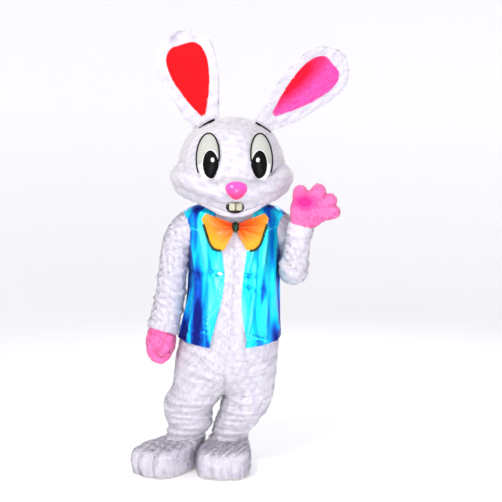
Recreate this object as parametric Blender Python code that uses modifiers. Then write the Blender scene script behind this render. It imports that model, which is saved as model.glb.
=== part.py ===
"""Rabbit mascot costume: hollow fur head, plush suit, satin waistcoat, bow tie, gloves and stuffed feet.

Each piece that a maker cuts and sews is one object. Lengths are metres. Tables give heights above the floor;
the origin lies between the shoulders, the front faces -Y and the wearer's left is +X.
"""
import math

import bmesh
import bpy
import numpy as np
from mathutils import Matrix, Vector

# Driving sizes
SHOULDER_HEIGHT = 1.27
PLUSH = 0.006
SATIN = 0.0018
HEAD_WALL = 0.010
SEAM = 0.0003
QUARTER = 6
AROUND = 4 * QUARTER
TORSO_POWER = 2.3
CROTCH_TOP = 0.490
CROTCH = 0.355
TORSO_CUTTER_LOW = 0.600
CROTCH_STEPS = (20, 40, 58, 74, 90)
HEM = 0.1363
HEAD_X = -0.012
FACE_TURN = math.radians(5)
LEFT = 1
RIGHT = -1

# Body sections: height, centre x, half width, reach to the front, reach to the back
TORSO = (
    (1.335, 0.000, 0.086, 0.080, 0.080),
    (1.315, 0.000, 0.090, 0.084, 0.084),
    (1.300, 0.000, 0.114, 0.094, 0.098),
    (1.288, 0.000, 0.160, 0.104, 0.112),
    (1.272, 0.000, 0.212, 0.112, 0.124),
    (1.245, 0.000, 0.243, 0.121, 0.136),
    (1.205, 0.000, 0.246, 0.131, 0.147),
    (1.140, 0.000, 0.228, 0.141, 0.152),
    (1.050, 0.000, 0.216, 0.149, 0.152),
    (0.950, 0.000, 0.211, 0.154, 0.147),
    (0.850, -0.003, 0.213, 0.160, 0.142),
    (0.750, -0.010, 0.224, 0.166, 0.147),
    (0.680, -0.016, 0.234, 0.168, 0.156),
    (0.560, -0.034, 0.248, 0.166, 0.171),
    (0.490, -0.043, 0.250, 0.162, 0.173),
    (0.420, -0.046, 0.248, 0.152, 0.170),
    (0.355, -0.047, 0.240, 0.140, 0.160),
)

# Leg sections with their stacked folds: height, x and half width of the left leg, x and half width of the right leg,
# y and half depth of both
LEGS = (
    (0.490, 0.0850, 0.1280, -0.1680, 0.1250, 0.000, 0.140),
    (0.420, 0.0780, 0.1240, -0.1880, 0.1420, 0.000, 0.137),
    (0.355, 0.0720, 0.1190, -0.1900, 0.1430, 0.000, 0.132),
    (0.325, 0.0620, 0.1210, -0.2085, 0.1335, 0.000, 0.130),
    (0.298, 0.0540, 0.1230, -0.2255, 0.1245, 0.000, 0.128),
    (0.272, 0.0460, 0.1120, -0.2290, 0.1150, 0.000, 0.117),
    (0.250, 0.0340, 0.1160, -0.2280, 0.1200, 0.002, 0.121),
    (0.228, 0.0200, 0.1030, -0.2240, 0.1070, 0.003, 0.108),
    (0.205, 0.0060, 0.1080, -0.2190, 0.1120, 0.005, 0.113),
    (0.184, -0.0060, 0.0920, -0.2260, 0.0980, 0.007, 0.098),
    (0.166, -0.0140, 0.0960, -0.2360, 0.1020, 0.008, 0.102),
    (0.150, -0.0200, 0.0840, -0.2410, 0.0880, 0.010, 0.088),
    (HEM, -0.0260, 0.0900, -0.2430, 0.0930, 0.010, 0.092),
)

# Broad soft folds pressed into the suit: side, front 1 or back -1, t and height of one end, t and height of the
# other end, depth, half breadth
SUIT_FOLDS = (
    (LEFT, 1, 0.05, 0.415, 0.85, 0.520, 0.009, 0.020),
    (LEFT, 1, 0.08, 0.385, 0.75, 0.400, 0.008, 0.018),
    (RIGHT, 1, 0.05, 0.425, 0.80, 0.560, 0.009, 0.020),
    (RIGHT, 1, 0.08, 0.390, 0.80, 0.430, 0.010, 0.020),
    (LEFT, -1, 0.05, 0.420, 0.80, 0.470, 0.009, 0.020),
    (RIGHT, -1, 0.05, 0.420, 0.80, 0.480, 0.009, 0.020),
)

# Arms from inside the shoulder to the end of the glove's wrist: x, y, height, half width, half depth
RIGHT_ARM = (
    (-0.150, 0.005, 1.172, 0.088, 0.088),
    (-0.225, 0.005, 1.165, 0.088, 0.088),
    (-0.266, 0.001, 1.115, 0.079, 0.085),
    (-0.288, -0.004, 1.050, 0.071, 0.080),
    (-0.298, -0.009, 0.985, 0.068, 0.078),
    (-0.306, -0.015, 0.900, 0.070, 0.076),
    (-0.314, -0.022, 0.830, 0.071, 0.075),
    (-0.328, -0.030, 0.765, 0.073, 0.074),
    (-0.338, -0.036, 0.712, 0.074, 0.074),
)
RIGHT_WRIST = (
    (-0.338, -0.036, 0.712, 0.074, 0.074),
    (-0.344, -0.040, 0.690, 0.074, 0.074),
    (-0.349, -0.043, 0.672, 0.074, 0.074),
)
LEFT_ARM = (
    (0.150, 0.005, 1.172, 0.088, 0.088),
    (0.225, 0.008, 1.165, 0.088, 0.087),
    (0.266, 0.016, 1.115, 0.079, 0.080),
    (0.291, 0.012, 1.045, 0.068, 0.070),
    (0.295, -0.018, 0.985, 0.066, 0.067),
    (0.282, -0.066, 0.962, 0.066, 0.066),
    (0.287, -0.112, 0.985, 0.064, 0.064),
    (0.298, -0.143, 1.060, 0.062, 0.062),
    (0.308, -0.158, 1.145, 0.059, 0.059),
)
LEFT_WRIST = (
    (0.308, -0.158, 1.145, 0.059, 0.059),
    (0.314, -0.161, 1.168, 0.059, 0.059),
    (0.320, -0.163, 1.190, 0.059, 0.059),
)
ARM_SIDES = 12
ARM_STEPS = 2
CUFF_PROUD = 0.005
ARMHOLE_RINGS = 7
VEST_ARMHOLE_RINGS = 9

# Waistcoat front edges: height, x of the edge on the wearer's right, x of the edge on the left
VEST_EDGE = (
    (1.288, -0.078, 0.086),
    (1.245, -0.088, 0.092),
    (1.140, -0.066, 0.070),
    (1.040, -0.050, 0.059),
    (0.930, -0.037, 0.045),
    (0.860, -0.047, 0.036),
    (0.786, -0.068, 0.034),
    (0.680, -0.094, 0.055),
    (0.600, -0.111, 0.064),
)
VEST_TOP = 1.288
VEST_HEM_FRONT = 0.597
VEST_HEM_SIDE = 0.645
VEST_OFF = 0.0045
VEST_HEM_OFF = 0.012
# The waistcoat flares below this part of its length, and its shoulder seam is seated on the suit
VEST_FLARE_FROM = 0.55
VEST_SEAT_DROP = 0.03
VEST_SEAT_T = (0.55, 0.85)
VEST_COLUMNS = 7
ARMHOLE_ROOM = 0.007
ZIP_ENDS = (1.282, 0.525)
ZIP_HALF_WIDTH = 0.009
ZIP_THICK = 0.0012

# Soft ridges standing out of the satin: side, front 1 or back -1, t and height at one end, then at the other,
# height of the ridge, half breadth
VEST_FOLDS = (
    (RIGHT, 1, 0.80, 1.18, 0.50, 0.94, 0.008, 0.020),
    (RIGHT, 1, 0.62, 1.20, 0.55, 1.00, 0.006, 0.016),
    (RIGHT, 1, 0.55, 0.90, 0.42, 0.72, 0.008, 0.024),
    (LEFT, 1, 0.62, 1.18, 0.58, 0.86, 0.007, 0.020),
    (LEFT, 1, 0.80, 1.00, 0.72, 0.70, 0.006, 0.022),
    (LEFT, -1, 0.60, 1.16, 0.35, 0.84, 0.006, 0.024),
    (RIGHT, -1, 0.55, 1.12, 0.30, 0.76, 0.006, 0.024),
)

# Head rings: height at the side, at the front and at the back, half width, reach to the front and to the back
HEAD_TOP = 1.706
HEAD = (
    (1.698, 1.698, 1.698, 0.070, 0.068, 0.070),
    (1.678, 1.678, 1.678, 0.135, 0.128, 0.138),
    (1.635, 1.635, 1.635, 0.198, 0.187, 0.200),
    (1.575, 1.575, 1.575, 0.237, 0.227, 0.234),
    (1.510, 1.510, 1.510, 0.254, 0.247, 0.248),
    (1.455, 1.455, 1.455, 0.266, 0.256, 0.250),
    (1.415, 1.405, 1.410, 0.284, 0.262, 0.246),
    (1.378, 1.355, 1.370, 0.288, 0.263, 0.238),
    (1.345, 1.305, 1.338, 0.268, 0.258, 0.224),
    (1.320, 1.262, 1.318, 0.226, 0.246, 0.198),
    (1.313, 1.236, 1.311, 0.178, 0.216, 0.166),
    (1.315, 1.290, 1.311, 0.128, 0.146, 0.126),
)
HEAD_RIM = (1.318, 1.330)

# Furry muzzle band round the front of the head: degrees from the nose, lower height, upper height, bulge
MUZZLE = (
    (0, 1.293, 1.416, 0.064),
    (12, 1.295, 1.403, 0.058),
    (24, 1.312, 1.400, 0.044),
    (37, 1.336, 1.425, 0.036),
    (51, 1.360, 1.462, 0.031),
    (66, 1.378, 1.486, 0.027),
    (80, 1.386, 1.478, 0.021),
    (93, 1.396, 1.456, 0.013),
    (102, 1.410, 1.436, 0.005),
)
MUZZLE_ACROSS = (0.0, 0.14, 0.32, 0.5, 0.68, 0.86, 1.0)
CHIN = (
    (0, 1.231, 1.251, 0.013),
    (12, 1.234, 1.258, 0.012),
    (24, 1.243, 1.276, 0.009),
    (34, 1.262, 1.292, 0.004),
)
CHIN_ACROSS = (0.0, 0.3, 0.7, 1.0)
PAD_EDGE = 0.002
PAD_SUNK = 0.008
PAD_ROUND = 0.7

# Face pieces in the head's own frame, x from the middle of the face
EYE_X = 0.121
EYE_HEIGHT = 1.507
EYE_SIZE = (0.055, 0.036, 0.113)
EYE_YAW = math.radians(21)
EYE_PITCH = math.radians(-9)
EYE_REACH = 0.09
LID_PROUD = 0.0030
LID_EDGE = -0.030
LID_RING = 0.007
LID_TILT = math.radians(6)
LID_SPACE = (0.3, 0.2, 0.2)
BEHIND_SPACE = (0.2, 0.1, 0.2)
PUPIL_PROUD = 0.0024
PUPIL_SIZE = (0.034, 0.064)
PUPIL_PLACE = (0.019, -0.037)
GLINT_SIZE = (0.0075, 0.0105)
GLINT_PLACE = (0.031, -0.018)
BROW_PATHS = {
    RIGHT: ((0.088, 1.687), (0.125, 1.669), (0.161, 1.648)),
    LEFT: ((0.109, 1.672), (0.147, 1.653), (0.184, 1.630)),
}
BROW_RADII = (0.0095, 0.0075, 0.0045)
NOSE_SIZE = (0.067, 0.036, 0.043)
NOSE_HEIGHT = 1.356
NOSE_STAND = 0.004
NOSE_TAPER = 0.234
MOUTH_SIZE = (0.045, 0.034, 0.030)
MOUTH_HEIGHT = 1.276
TOOTH_SIZE = (0.030, 0.022, 0.036)
TOOTH_PLACE = (0.0155, -0.284, 1.280)
TOOTH_EDGE = 0.007

# Ears: parts of the length and of the half width, and the lining's part of the half width
EAR = (
    (-0.130, 0.30, 0.00),
    (0.055, 0.52, 0.07),
    (0.180, 0.68, 0.26),
    (0.340, 0.84, 0.46),
    (0.520, 0.96, 0.61),
    (0.670, 1.00, 0.66),
    (0.790, 0.97, 0.60),
    (0.865, 0.86, 0.38),
    (0.930, 0.64, 0.00),
    (0.980, 0.34, 0.00),
    (1.000, 0.12, 0.00),
)
# Each ear: side, base x, base height, tip x, tip height, half width
EARS = (
    (RIGHT, -0.142, 1.694, -0.270, 2.113, 0.153),
    (LEFT, 0.172, 1.702, 0.528, 2.004, 0.135),
)
EAR_THICK = 0.021
EAR_DISH = 0.036
LINING = 0.003

# Gloves: x, y, height, half width, half depth from the wrist to the knuckles
LEFT_PALM = (
    (0.3095, -0.1585, 1.1525, 0.0518, 0.0518),
    (0.3215, -0.1637, 1.194, 0.0518, 0.0518),
    (0.328, -0.165, 1.212, 0.072, 0.054),
    (0.340, -0.168, 1.236, 0.086, 0.047),
    (0.358, -0.171, 1.268, 0.094, 0.044),
    (0.374, -0.172, 1.298, 0.094, 0.040),
    (0.384, -0.173, 1.322, 0.070, 0.030),
)
# Fingers of the open glove: root x, root height, tip x, tip height, radius
LEFT_FINGERS = (
    (0.318, 1.270, 0.314, 1.343, 0.038),
    (0.378, 1.285, 0.398, 1.347, 0.040),
    (0.415, 1.275, 0.452, 1.305, 0.038),
    (0.400, 1.245, 0.468, 1.252, 0.036),
)
RIGHT_PALM = (
    (-0.3395, -0.037, 0.7065, 0.0673, 0.0673),
    (-0.3500, -0.0436, 0.6680, 0.0673, 0.0673),
    (-0.353, -0.047, 0.652, 0.074, 0.071),
    (-0.356, -0.052, 0.625, 0.078, 0.074),
    (-0.358, -0.056, 0.592, 0.072, 0.074),
    (-0.362, -0.057, 0.562, 0.056, 0.062),
    (-0.362, -0.057, 0.545, 0.034, 0.050),
)
# Curled fingers of the closed glove run down the outside and in under the palm: y of each finger
RIGHT_FINGER_Y = (-0.108, -0.073, -0.038, -0.005)
RIGHT_CURL = (
    (-0.398, 0.612, 0.023),
    (-0.402, 0.575, 0.024),
    (-0.376, 0.545, 0.025),
    (-0.346, 0.536, 0.024),
    (-0.322, 0.560, 0.021),
)
RIGHT_THUMB = ((-0.312, -0.104, 0.640, 0.024), (-0.318, -0.124, 0.605, 0.024), (-0.345, -0.134, 0.580, 0.021))
GLOVE_WALL = 0.005
GLOVE_END = 0.018
GLOVE_END_SIZE = 0.55
WRIST_OPENING = 0.3
FINGER_SIDES = 8
FINGER_ROOT_ROUND = (60, 30)
FINGER_TIP_ROUND = (35, 65)
FINGER_PARTS = (0.0, 0.5, 1.0)
FINGER_LEAN = 0.004
FINGER_TAPER = 0.1

# Feet: side, ankle x, ankle y, heading in degrees towards +X
FEET = ((LEFT, -0.026, 0.010, -7), (RIGHT, -0.243, 0.010, -36))
FOOT_MIDDLE = 0.096
FOOT_HALF_LENGTH = 0.226
FOOT_HALF_WIDTH = 0.118
FOOT_SPREAD = 0.052
FOOT_SQUARE = 0.8
FOOT_SIDE_KEPT = 0.4
TOE_LINES = (-0.047, 0.047)
TOE_DEPTH = 0.020
TOE_BREADTH = 0.011
FOOT_COMPASS = (0, 6.3, 8.9, 11.5, 17, 25, 34, 48, 68, 94, 128, 158, 180)
# Foot rings: height, size of the outline, how far it has turned into the round ankle shelf
FOOT = (
    (0.0083, 0.93, 0.0),
    (0.0560, 1.00, 0.0),
    (0.1000, 0.97, 0.0),
    (0.1220, 0.88, 0.05),
    (0.1290, 0.74, 0.35),
)
SHELF_RADIUS = 0.101
SHELF_HEIGHT = HEM - SEAM
COLLAR = ((0.0700, SHELF_HEIGHT), (0.0670, 0.172))
FOOT_WALL = 0.008
SOLE_SIZE = 0.92

# Bow tie wing in the plane of the chest: far edge from top to bottom, x and height
BOW_FAR = (
    (0.140, 1.246), (0.158, 1.222), (0.146, 1.180), (0.131, 1.131), (0.118, 1.090), (0.088, 1.067),
    (0.054, 1.072),
)
BOW_NEAR = ((0.011, 1.200), (0.011, 1.150))
BOW_X = 0.009
BOW_BACK_Y = -0.1555
BOW_THICK = 0.032
BOW_STEPS = 5
# How full a wing is at the knot, the powers of its swelling and of its round edge, depth and count of its gathers
BOW_KNOT_FULL = 0.35
BOW_SWELL = 0.6
BOW_ROUND = 0.5
BOW_GATHER = 0.004
BOW_GATHERS = 3
BOW_KNOT = (0.0185, 0.032, 0.027)
BOW_KNOT_PLACE = (0.010, -0.166, 1.182)

# Colours and finishes: sRGB hex, roughness
FINISHES = {
    "white_plush": ("#F4F2F6", 0.95),
    "ear_plush_red": ("#F0204A", 0.90),
    "ear_plush_pink": ("#FF4FA0", 0.90),
    "blue_satin": ("#0A8FEA", 0.25),
    "orange_satin": ("#FF9A10", 0.40),
    "knot_satin": ("#10281C", 0.30),
    "pink_plush": ("#FF5FB4", 0.90),
    "nose_vinyl": ("#FF2F96", 0.35),
    "eye_white": ("#FBFBFB", 0.25),
    "eyelid_grey": ("#B9BFB4", 0.60),
    "black_vinyl": ("#0B0B0D", 0.30),
    "tooth_white": ("#F1EEDC", 0.45),
    "sole_rubber": ("#D9D6D2", 0.85),
    "zip_white": ("#E9E9EC", 0.60),
}


def linear(hex_colour):
    """Turn an sRGB hex colour into linear red, green and blue."""
    channels = []
    for start in (1, 3, 5):
        value = int(hex_colour[start:start + 2], 16) / 255
        channels.append(value / 12.92 if value <= 0.04045 else ((value + 0.055) / 1.055) ** 2.4)
    return channels


def finish(node, slot):
    """Give a node its own material of the named finish."""
    colour, roughness = FINISHES[slot]
    material = bpy.data.materials.new(f"{slot}.{node.name}")
    material.use_nodes = True
    shader = material.node_tree.nodes["Principled BSDF"]
    shader.inputs["Base Color"].default_value = (*linear(colour), 1)
    shader.inputs["Roughness"].default_value = roughness
    node.data.materials.append(material)


def make(name, points, faces, slot=None):
    """Make an object from points and faces; with no finish it is a cutter."""
    mesh = bpy.data.meshes.new(name)
    mesh.from_pydata([tuple(float(c) for c in p) for p in points], [], faces)
    shell = bmesh.new()
    shell.from_mesh(mesh)
    bmesh.ops.recalc_face_normals(shell, faces=shell.faces)
    shell.to_mesh(mesh)
    shell.free()
    mesh.shade_smooth()
    node = bpy.data.objects.new(name, mesh)
    place(node, slot)
    return node


def place(node, slot):
    """Put a piece in the costume's collection, or a cutter in the other one."""
    if slot:
        PIECES.objects.link(node)
        finish(node, slot)
    else:
        CUTTERS.objects.link(node)
        node.hide_render = True
        node.display_type = "WIRE"


def combine(node, operation, *others):
    """Add one exact Boolean to a node for each other object."""
    for other in others:
        step = node.modifiers.new(f"{operation.lower()} {other.name}", "BOOLEAN")
        step.operation = operation
        step.solver = "EXACT"
        step.object = other


def up(height):
    """Height above the floor as z in the costume's frame."""
    return height - SHOULDER_HEIGHT


def column(table, index, height):
    """Read one column of a table whose first column is a falling height."""
    heights = [row[0] for row in reversed(table)]
    return float(np.interp(height, heights, [row[index] for row in reversed(table)]))


def grid_faces(rows, columns, closed, start=0, flip=False):
    """Triangles of a grid of points, all cut along the same diagonal."""
    faces = []
    for i in range(rows - 1):
        for j in range(columns if closed else columns - 1):
            a = start + i * columns + j
            b = start + i * columns + (j + 1) % columns
            c, d = b + columns, a + columns
            pair = [(a, b, c), (a, c, d)]
            faces += [face[::-1] for face in pair] if flip else pair
    return faces


def wall(name, outer, inner, closed, slot):
    """A wall of cloth between an outer and an inner grid, joined along every free edge."""
    rows, columns = outer.shape[:2]
    count = rows * columns
    points = list(outer.reshape(-1, 3)) + list(inner.reshape(-1, 3))
    faces = grid_faces(rows, columns, closed) + grid_faces(rows, columns, closed, count, True)
    top = list(range(columns))
    bottom = [(rows - 1) * columns + j for j in range(columns)]
    if closed:
        edges = [(top + top[:1])[::-1], bottom + bottom[:1]]
    else:
        right = [i * columns + columns - 1 for i in range(rows)]
        left = [i * columns for i in range(rows)]
        edges = [top[::-1] + left[1:] + bottom[1:] + right[::-1][1:]]
    for edge in edges:
        for a, b in zip(edge, edge[1:]):
            faces += [(a, b, b + count), (a, b + count, a + count)]
    return make(name, points, faces, slot)


def plug(name, rings, slot=None):
    """A closed form through rings of equal count, with a fan at each end."""
    rings = np.asarray(rings, dtype=float)
    rows, columns = rings.shape[:2]
    points = list(rings.reshape(-1, 3)) + [rings[0].mean(axis=0), rings[-1].mean(axis=0)]
    faces = grid_faces(rows, columns, True)
    first, last = rows * columns, rows * columns + 1
    for j in range(columns):
        k = (j + 1) % columns
        faces.append((first, k, j))
        faces.append((last, (rows - 1) * columns + j, (rows - 1) * columns + k))
    return make(name, points, faces, slot)


def unit(vectors):
    """Scale vectors to length one."""
    lengths = np.linalg.norm(vectors, axis=-1, keepdims=True)
    return vectors / np.maximum(lengths, 1e-12)


def grid_normals(grid, closed):
    """Normals of a grid whose columns run round the body and whose rows run down."""
    down = np.gradient(grid, axis=0)
    if closed:
        across = np.roll(grid, -1, axis=1) - np.roll(grid, 1, axis=1)
    else:
        across = np.gradient(grid, axis=1)
    normals = unit(np.cross(across, down))
    middle = grid.mean(axis=(0, 1))
    if np.sum(normals * (grid - middle)) < 0:
        normals = -normals
    return normals


def fold_height(folds, side, half, t, height):
    """Sum of the folds at a place: each is a soft line that dies away at its ends."""
    total = 0.0
    for fold_side, fold_half, t0, h0, t1, h1, depth, breadth in folds:
        if (fold_side, fold_half) != (side, half):
            continue
        along = np.array([(t1 - t0) * 0.35, h1 - h0])
        place_on = np.array([(t - t0) * 0.35, height - h0])
        part = float(np.clip(place_on @ along / (along @ along), 0, 1))
        off = np.linalg.norm(place_on - part * along)
        total += depth * math.exp(-(off / breadth) ** 2) * (0.45 + 0.55 * math.sin(math.pi * part))
    return total


def torso_point(height, angle, grow=0.0):
    """Point on the body: angle 0 at the centre front, a quarter turn at the wearer's left side."""
    s, c = math.sin(angle), math.cos(angle)
    power = 2 / TORSO_POWER
    reach = column(TORSO, 3 if c > 0 else 4, height) + grow
    x = column(TORSO, 1, height) + math.copysign(abs(s) ** power, s) * (column(TORSO, 2, height) + grow)
    y = -math.copysign(abs(c) ** power, c) * reach
    return np.array([x, y, up(height)])


def leg_point(height, side, half, t):
    """Point on a leg: t 0 at the inseam, 1 at the outseam."""
    x = column(LEGS, 1 if side == LEFT else 3, height)
    half_width = column(LEGS, 2 if side == LEFT else 4, height)
    turn = math.pi * (t - 0.5)
    y = column(LEGS, 5, height) - half * column(LEGS, 6, height) * math.cos(turn)
    return np.array([x + side * half_width * math.sin(turn), y, up(height)])


def suit_point(height, side, half, t):
    """Point on a suit panel, turning from torso to leg over the crotch."""
    if height > CROTCH_TOP:
        leg_part = 0.0
    else:
        drop = min(1.0, (CROTCH_TOP - height) / (CROTCH_TOP - CROTCH))
        leg_part = 1 - math.sqrt(max(0.0, 1 - drop * drop))
    angle = t * math.pi / 2 if half > 0 else math.pi - t * math.pi / 2
    point = np.zeros(3)
    if leg_part < 1:
        point += (1 - leg_part) * torso_point(max(height, CROTCH), side * angle)
    if leg_part > 0:
        point += leg_part * leg_point(height, side, half, t)
    return point


def suit_heights():
    """Heights of the suit's rows, from the neck to the ankle hem."""
    upper = [row[0] for row in TORSO if row[0] >= CROTCH_TOP]
    curve = [CROTCH_TOP - (CROTCH_TOP - CROTCH) * math.sin(math.radians(a)) for a in CROTCH_STEPS]
    return upper + curve + [row[0] for row in LEGS if row[0] < CROTCH]


def edge_normals(edge, plane, outward):
    """Normals of a seam edge that stay in the seam's own plane, so that both sides of the seam agree."""
    run = np.gradient(edge, axis=0)
    normals = np.cross(run, plane)
    sign = np.sign(np.sum(normals * outward, axis=1, keepdims=True))
    return unit(normals * np.where(sign == 0, 1, sign))


def suit_grid(side, half):
    """Outer points and outward normals of one suit panel."""
    heights = suit_heights()
    columns = [j / QUARTER for j in range(QUARTER + 1)]
    grid = np.array([[suit_point(h, side, half, t) for t in columns] for h in heights])
    normals = grid_normals(grid, False)
    crotch_row = next(i for i, h in enumerate(heights) if h <= CROTCH + 1e-6)
    outward = np.array([[side * 0.2, -half, -0.3]])
    centre = edge_normals(grid[:crotch_row, 0], (1, 0, 0), outward)
    normals[:crotch_row, 0] = centre
    inseam = edge_normals(grid[crotch_row:, 0], (0, 1, 0), np.array([[-side, 0, 0]]))
    normals[crotch_row:, 0] = inseam
    normals[crotch_row, 0] = unit(np.array([-side, 0, -1.0]))
    normals[:, -1] = edge_normals(grid[:, -1], (0, 1, 0), np.array([[side, 0, 0.3]]))
    for i, height in enumerate(heights):
        for j, t in enumerate(columns):
            grid[i, j] -= normals[i, j] * fold_height(SUIT_FOLDS, side, half, t, height)
    return heights, columns, grid, normals


def suit_panels():
    """Four plush panels, each from the neck to the ankle with half a leg."""
    panels = []
    for side, side_name in ((LEFT, "left"), (RIGHT, "right")):
        for half, half_name in ((1, "front"), (-1, "back")):
            heights, columns, grid, normals = suit_grid(side, half)
            inner = grid - normals * PLUSH
            for end in (0, -1):
                inner[end, :, 2] = grid[end, :, 2]
            for i, height in enumerate(heights):
                on_leg = height <= CROTCH + 1e-6
                for layer in (grid, inner):
                    if not height < CROTCH - 1e-6:
                        layer[i, 0, 0] += side * SEAM / 2
                    if on_leg:
                        layer[i, 0, 1] -= half * SEAM / 2
                    layer[i, -1, 1] -= half * SEAM / 2
            panels.append(wall(f"suit_{half_name}_{side_name}", grid, inner, False, "white_plush"))
    return panels


def torso_cutter():
    """The body's outside, a seam's width bigger, from the neck to the hips."""
    rings = []
    for height in [row[0] for row in TORSO if row[0] >= TORSO_CUTTER_LOW]:
        rings.append([torso_point(height, math.tau * j / AROUND, SEAM) for j in range(AROUND)])
    return plug("cutter_torso", rings)


def smooth_rows(rows, steps):
    """Add rows between the given ones along a smooth curve."""
    rows = np.array(rows)
    padded = np.vstack([2 * rows[0] - rows[1], rows, 2 * rows[-1] - rows[-2]])
    result = []
    for i in range(1, len(padded) - 2):
        p0, p1, p2, p3 = padded[i - 1:i + 3]
        for step in range(steps):
            t = step / steps
            result.append(0.5 * (2 * p1 + (p2 - p0) * t + (2 * p0 - 5 * p1 + 4 * p2 - p3) * t * t
                                 + (3 * p1 - p0 - 3 * p2 + p3) * t ** 3))
    return np.array(result + [rows[-1]])


def tube_rings(rows, grow=0.0, sides=ARM_SIDES, twist_free=True):
    """Rings round a path; the frame starts level at the far end and is carried back without twist."""
    rows = np.asarray(rows, dtype=float)
    centres = rows[:, :3] - np.array([0, 0, SHOULDER_HEIGHT])
    tangents = unit(np.gradient(centres, axis=0))
    depth_axis = np.array([0.0, 1.0, 0.0])
    frames = []
    for tangent in tangents[::-1]:
        depth_axis = unit(depth_axis - tangent * (depth_axis @ tangent))
        frames.append(depth_axis)
        if not twist_free:
            depth_axis = np.array([0.0, 1.0, 0.0])
    frames = frames[::-1]
    rings = []
    for centre, tangent, deep, (half_width, half_depth) in zip(centres, tangents, frames, rows[:, 3:5]):
        wide = np.cross(deep, tangent)
        ring = []
        for j in range(sides):
            turn = math.tau * j / sides
            across = wide * (half_width + grow) * math.cos(turn)
            ring.append(centre + across + deep * (half_depth + grow) * math.sin(turn))
        rings.append(ring)
    return np.array(rings)


def sleeve(name, arm, wrist, torso):
    """A sleeve from the armhole to the wrist, its cuff band, and the cutters for the armholes."""
    rows = smooth_rows(arm, ARM_STEPS)
    whole = np.vstack([rows, wrist[1:]])
    outer = tube_rings(whole)
    inner = tube_rings(whole, -PLUSH)
    end = len(rows)
    arm_node = wall(f"sleeve_{name}", outer[:end], inner[:end], True, "white_plush")
    combine(arm_node, "DIFFERENCE", torso)
    band_outer = tube_rings(whole, CUFF_PROUD)[end - 1:].copy()
    band_inner = inner[end - 1:].copy()
    lift = unit(whole[-1][:3] - whole[end - 1][:3]) * SEAM
    band_outer[0] += lift
    band_inner[0] += lift
    wall(f"cuff_{name}", band_outer, band_inner, True, "white_plush")
    hollow = plug(f"cutter_armhole_{name}", tube_rings(whole, -PLUSH)[:ARMHOLE_RINGS])
    room = plug(f"cutter_vest_armhole_{name}", tube_rings(whole, ARMHOLE_ROOM)[:VEST_ARMHOLE_RINGS])
    return hollow, room


def vest_edge_t(height, side):
    """Where the waistcoat's front edge lies between centre front and side seam."""
    x = column(VEST_EDGE, 1 if side == RIGHT else 2, height) - column(TORSO, 1, height)
    ratio = abs(x) / column(TORSO, 2, height)
    return math.asin(ratio ** (TORSO_POWER / 2)) * 2 / math.pi


def vest_layer(side, half, t, height, extra):
    """Point of the waistcoat over the body, with its ridges."""
    step = 0.004
    angle = side * (t * math.pi / 2 if half > 0 else math.pi - t * math.pi / 2)
    point = torso_point(height, angle)
    run = torso_point(height, angle + 0.01) - torso_point(height, angle - 0.01)
    drop = torso_point(height - step, angle) - torso_point(height + step, angle)
    normal = unit(np.cross(drop, run))
    low = (VEST_TOP - height) / (VEST_TOP - VEST_HEM_FRONT)
    off = VEST_OFF + (VEST_HEM_OFF - VEST_OFF) * max(0.0, low - VEST_FLARE_FROM) / (1 - VEST_FLARE_FROM)
    seat = max(0.0, 1 - (VEST_TOP - height) / VEST_SEAT_DROP) * float(np.interp(t, VEST_SEAT_T, (0.0, 1.0)))
    off = off * (1 - seat) + SEAM * 2 * seat
    return point + normal * (off + extra + fold_height(VEST_FOLDS, side, half, t, height))


def vest_heights():
    """Heights of the waistcoat's rows, from the neckline to the hem."""
    return [row[0] for row in TORSO if VEST_TOP >= row[0] > VEST_HEM_SIDE] + [VEST_HEM_SIDE]


def vest_row_height(height, half, t):
    """The hem row dips towards the front."""
    if height > VEST_HEM_SIDE + 1e-6:
        return height
    return VEST_HEM_FRONT + (VEST_HEM_SIDE - VEST_HEM_FRONT) * (t if half > 0 else 1)


def vest(rooms):
    """Two fronts and a back of satin, open down the front, with an armhole on each side."""
    for side, name in ((LEFT, "left"), (RIGHT, "right")):
        layers = []
        for extra in (SATIN, 0.0):
            grid = []
            for height in vest_heights():
                first = vest_edge_t(height, side)
                row = []
                for j in range(VEST_COLUMNS + 1):
                    t = first + (1 - first) * j / VEST_COLUMNS
                    row.append(vest_layer(side, 1, t, vest_row_height(height, 1, t), extra))
                row[-1][1] -= SEAM / 2
                grid.append(row)
            layers.append(np.array(grid))
        front = wall(f"vest_front_{name}", *layers, False, "blue_satin")
        combine(front, "DIFFERENCE", rooms[side])
    layers = []
    for extra in (SATIN, 0.0):
        grid = []
        for height in vest_heights():
            row = []
            for j in range(-QUARTER, QUARTER + 1):
                side, t = (LEFT, 1 - (j + QUARTER) / QUARTER) if j < 0 else (RIGHT, j / QUARTER)
                row.append(vest_layer(side, -1, t, vest_row_height(height, -1, t), extra))
            row[0][1] += SEAM / 2
            row[-1][1] += SEAM / 2
            grid.append(row)
        layers.append(np.array(grid))
    back = wall("vest_back", *layers, False, "blue_satin")
    combine(back, "DIFFERENCE", rooms[LEFT], rooms[RIGHT])


def suit_zip():
    """The zip tape that lies over the centre back seam, from the nape to the seat."""
    top, low = ZIP_ENDS
    heights = [top] + [row[0] for row in TORSO if top > row[0] > low] + [low]
    layers = []
    for off in (SEAM + ZIP_THICK, SEAM):
        grid = []
        for height in heights:
            y = torso_point(height, math.pi)[1] + off
            x = column(TORSO, 1, height)
            grid.append([np.array([x + dx, y, up(height)]) for dx in (-ZIP_HALF_WIDTH, ZIP_HALF_WIDTH)])
        layers.append(np.array(grid))
    wall("suit_zip", *layers, False, "zip_white")


def turned(point):
    """Turn a point of the head's own frame to where the face looks, and set it over the body."""
    c, s = math.cos(FACE_TURN), math.sin(FACE_TURN)
    x, y, z = point
    return np.array([HEAD_X + x * c - y * s, x * s + y * c, z])


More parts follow.
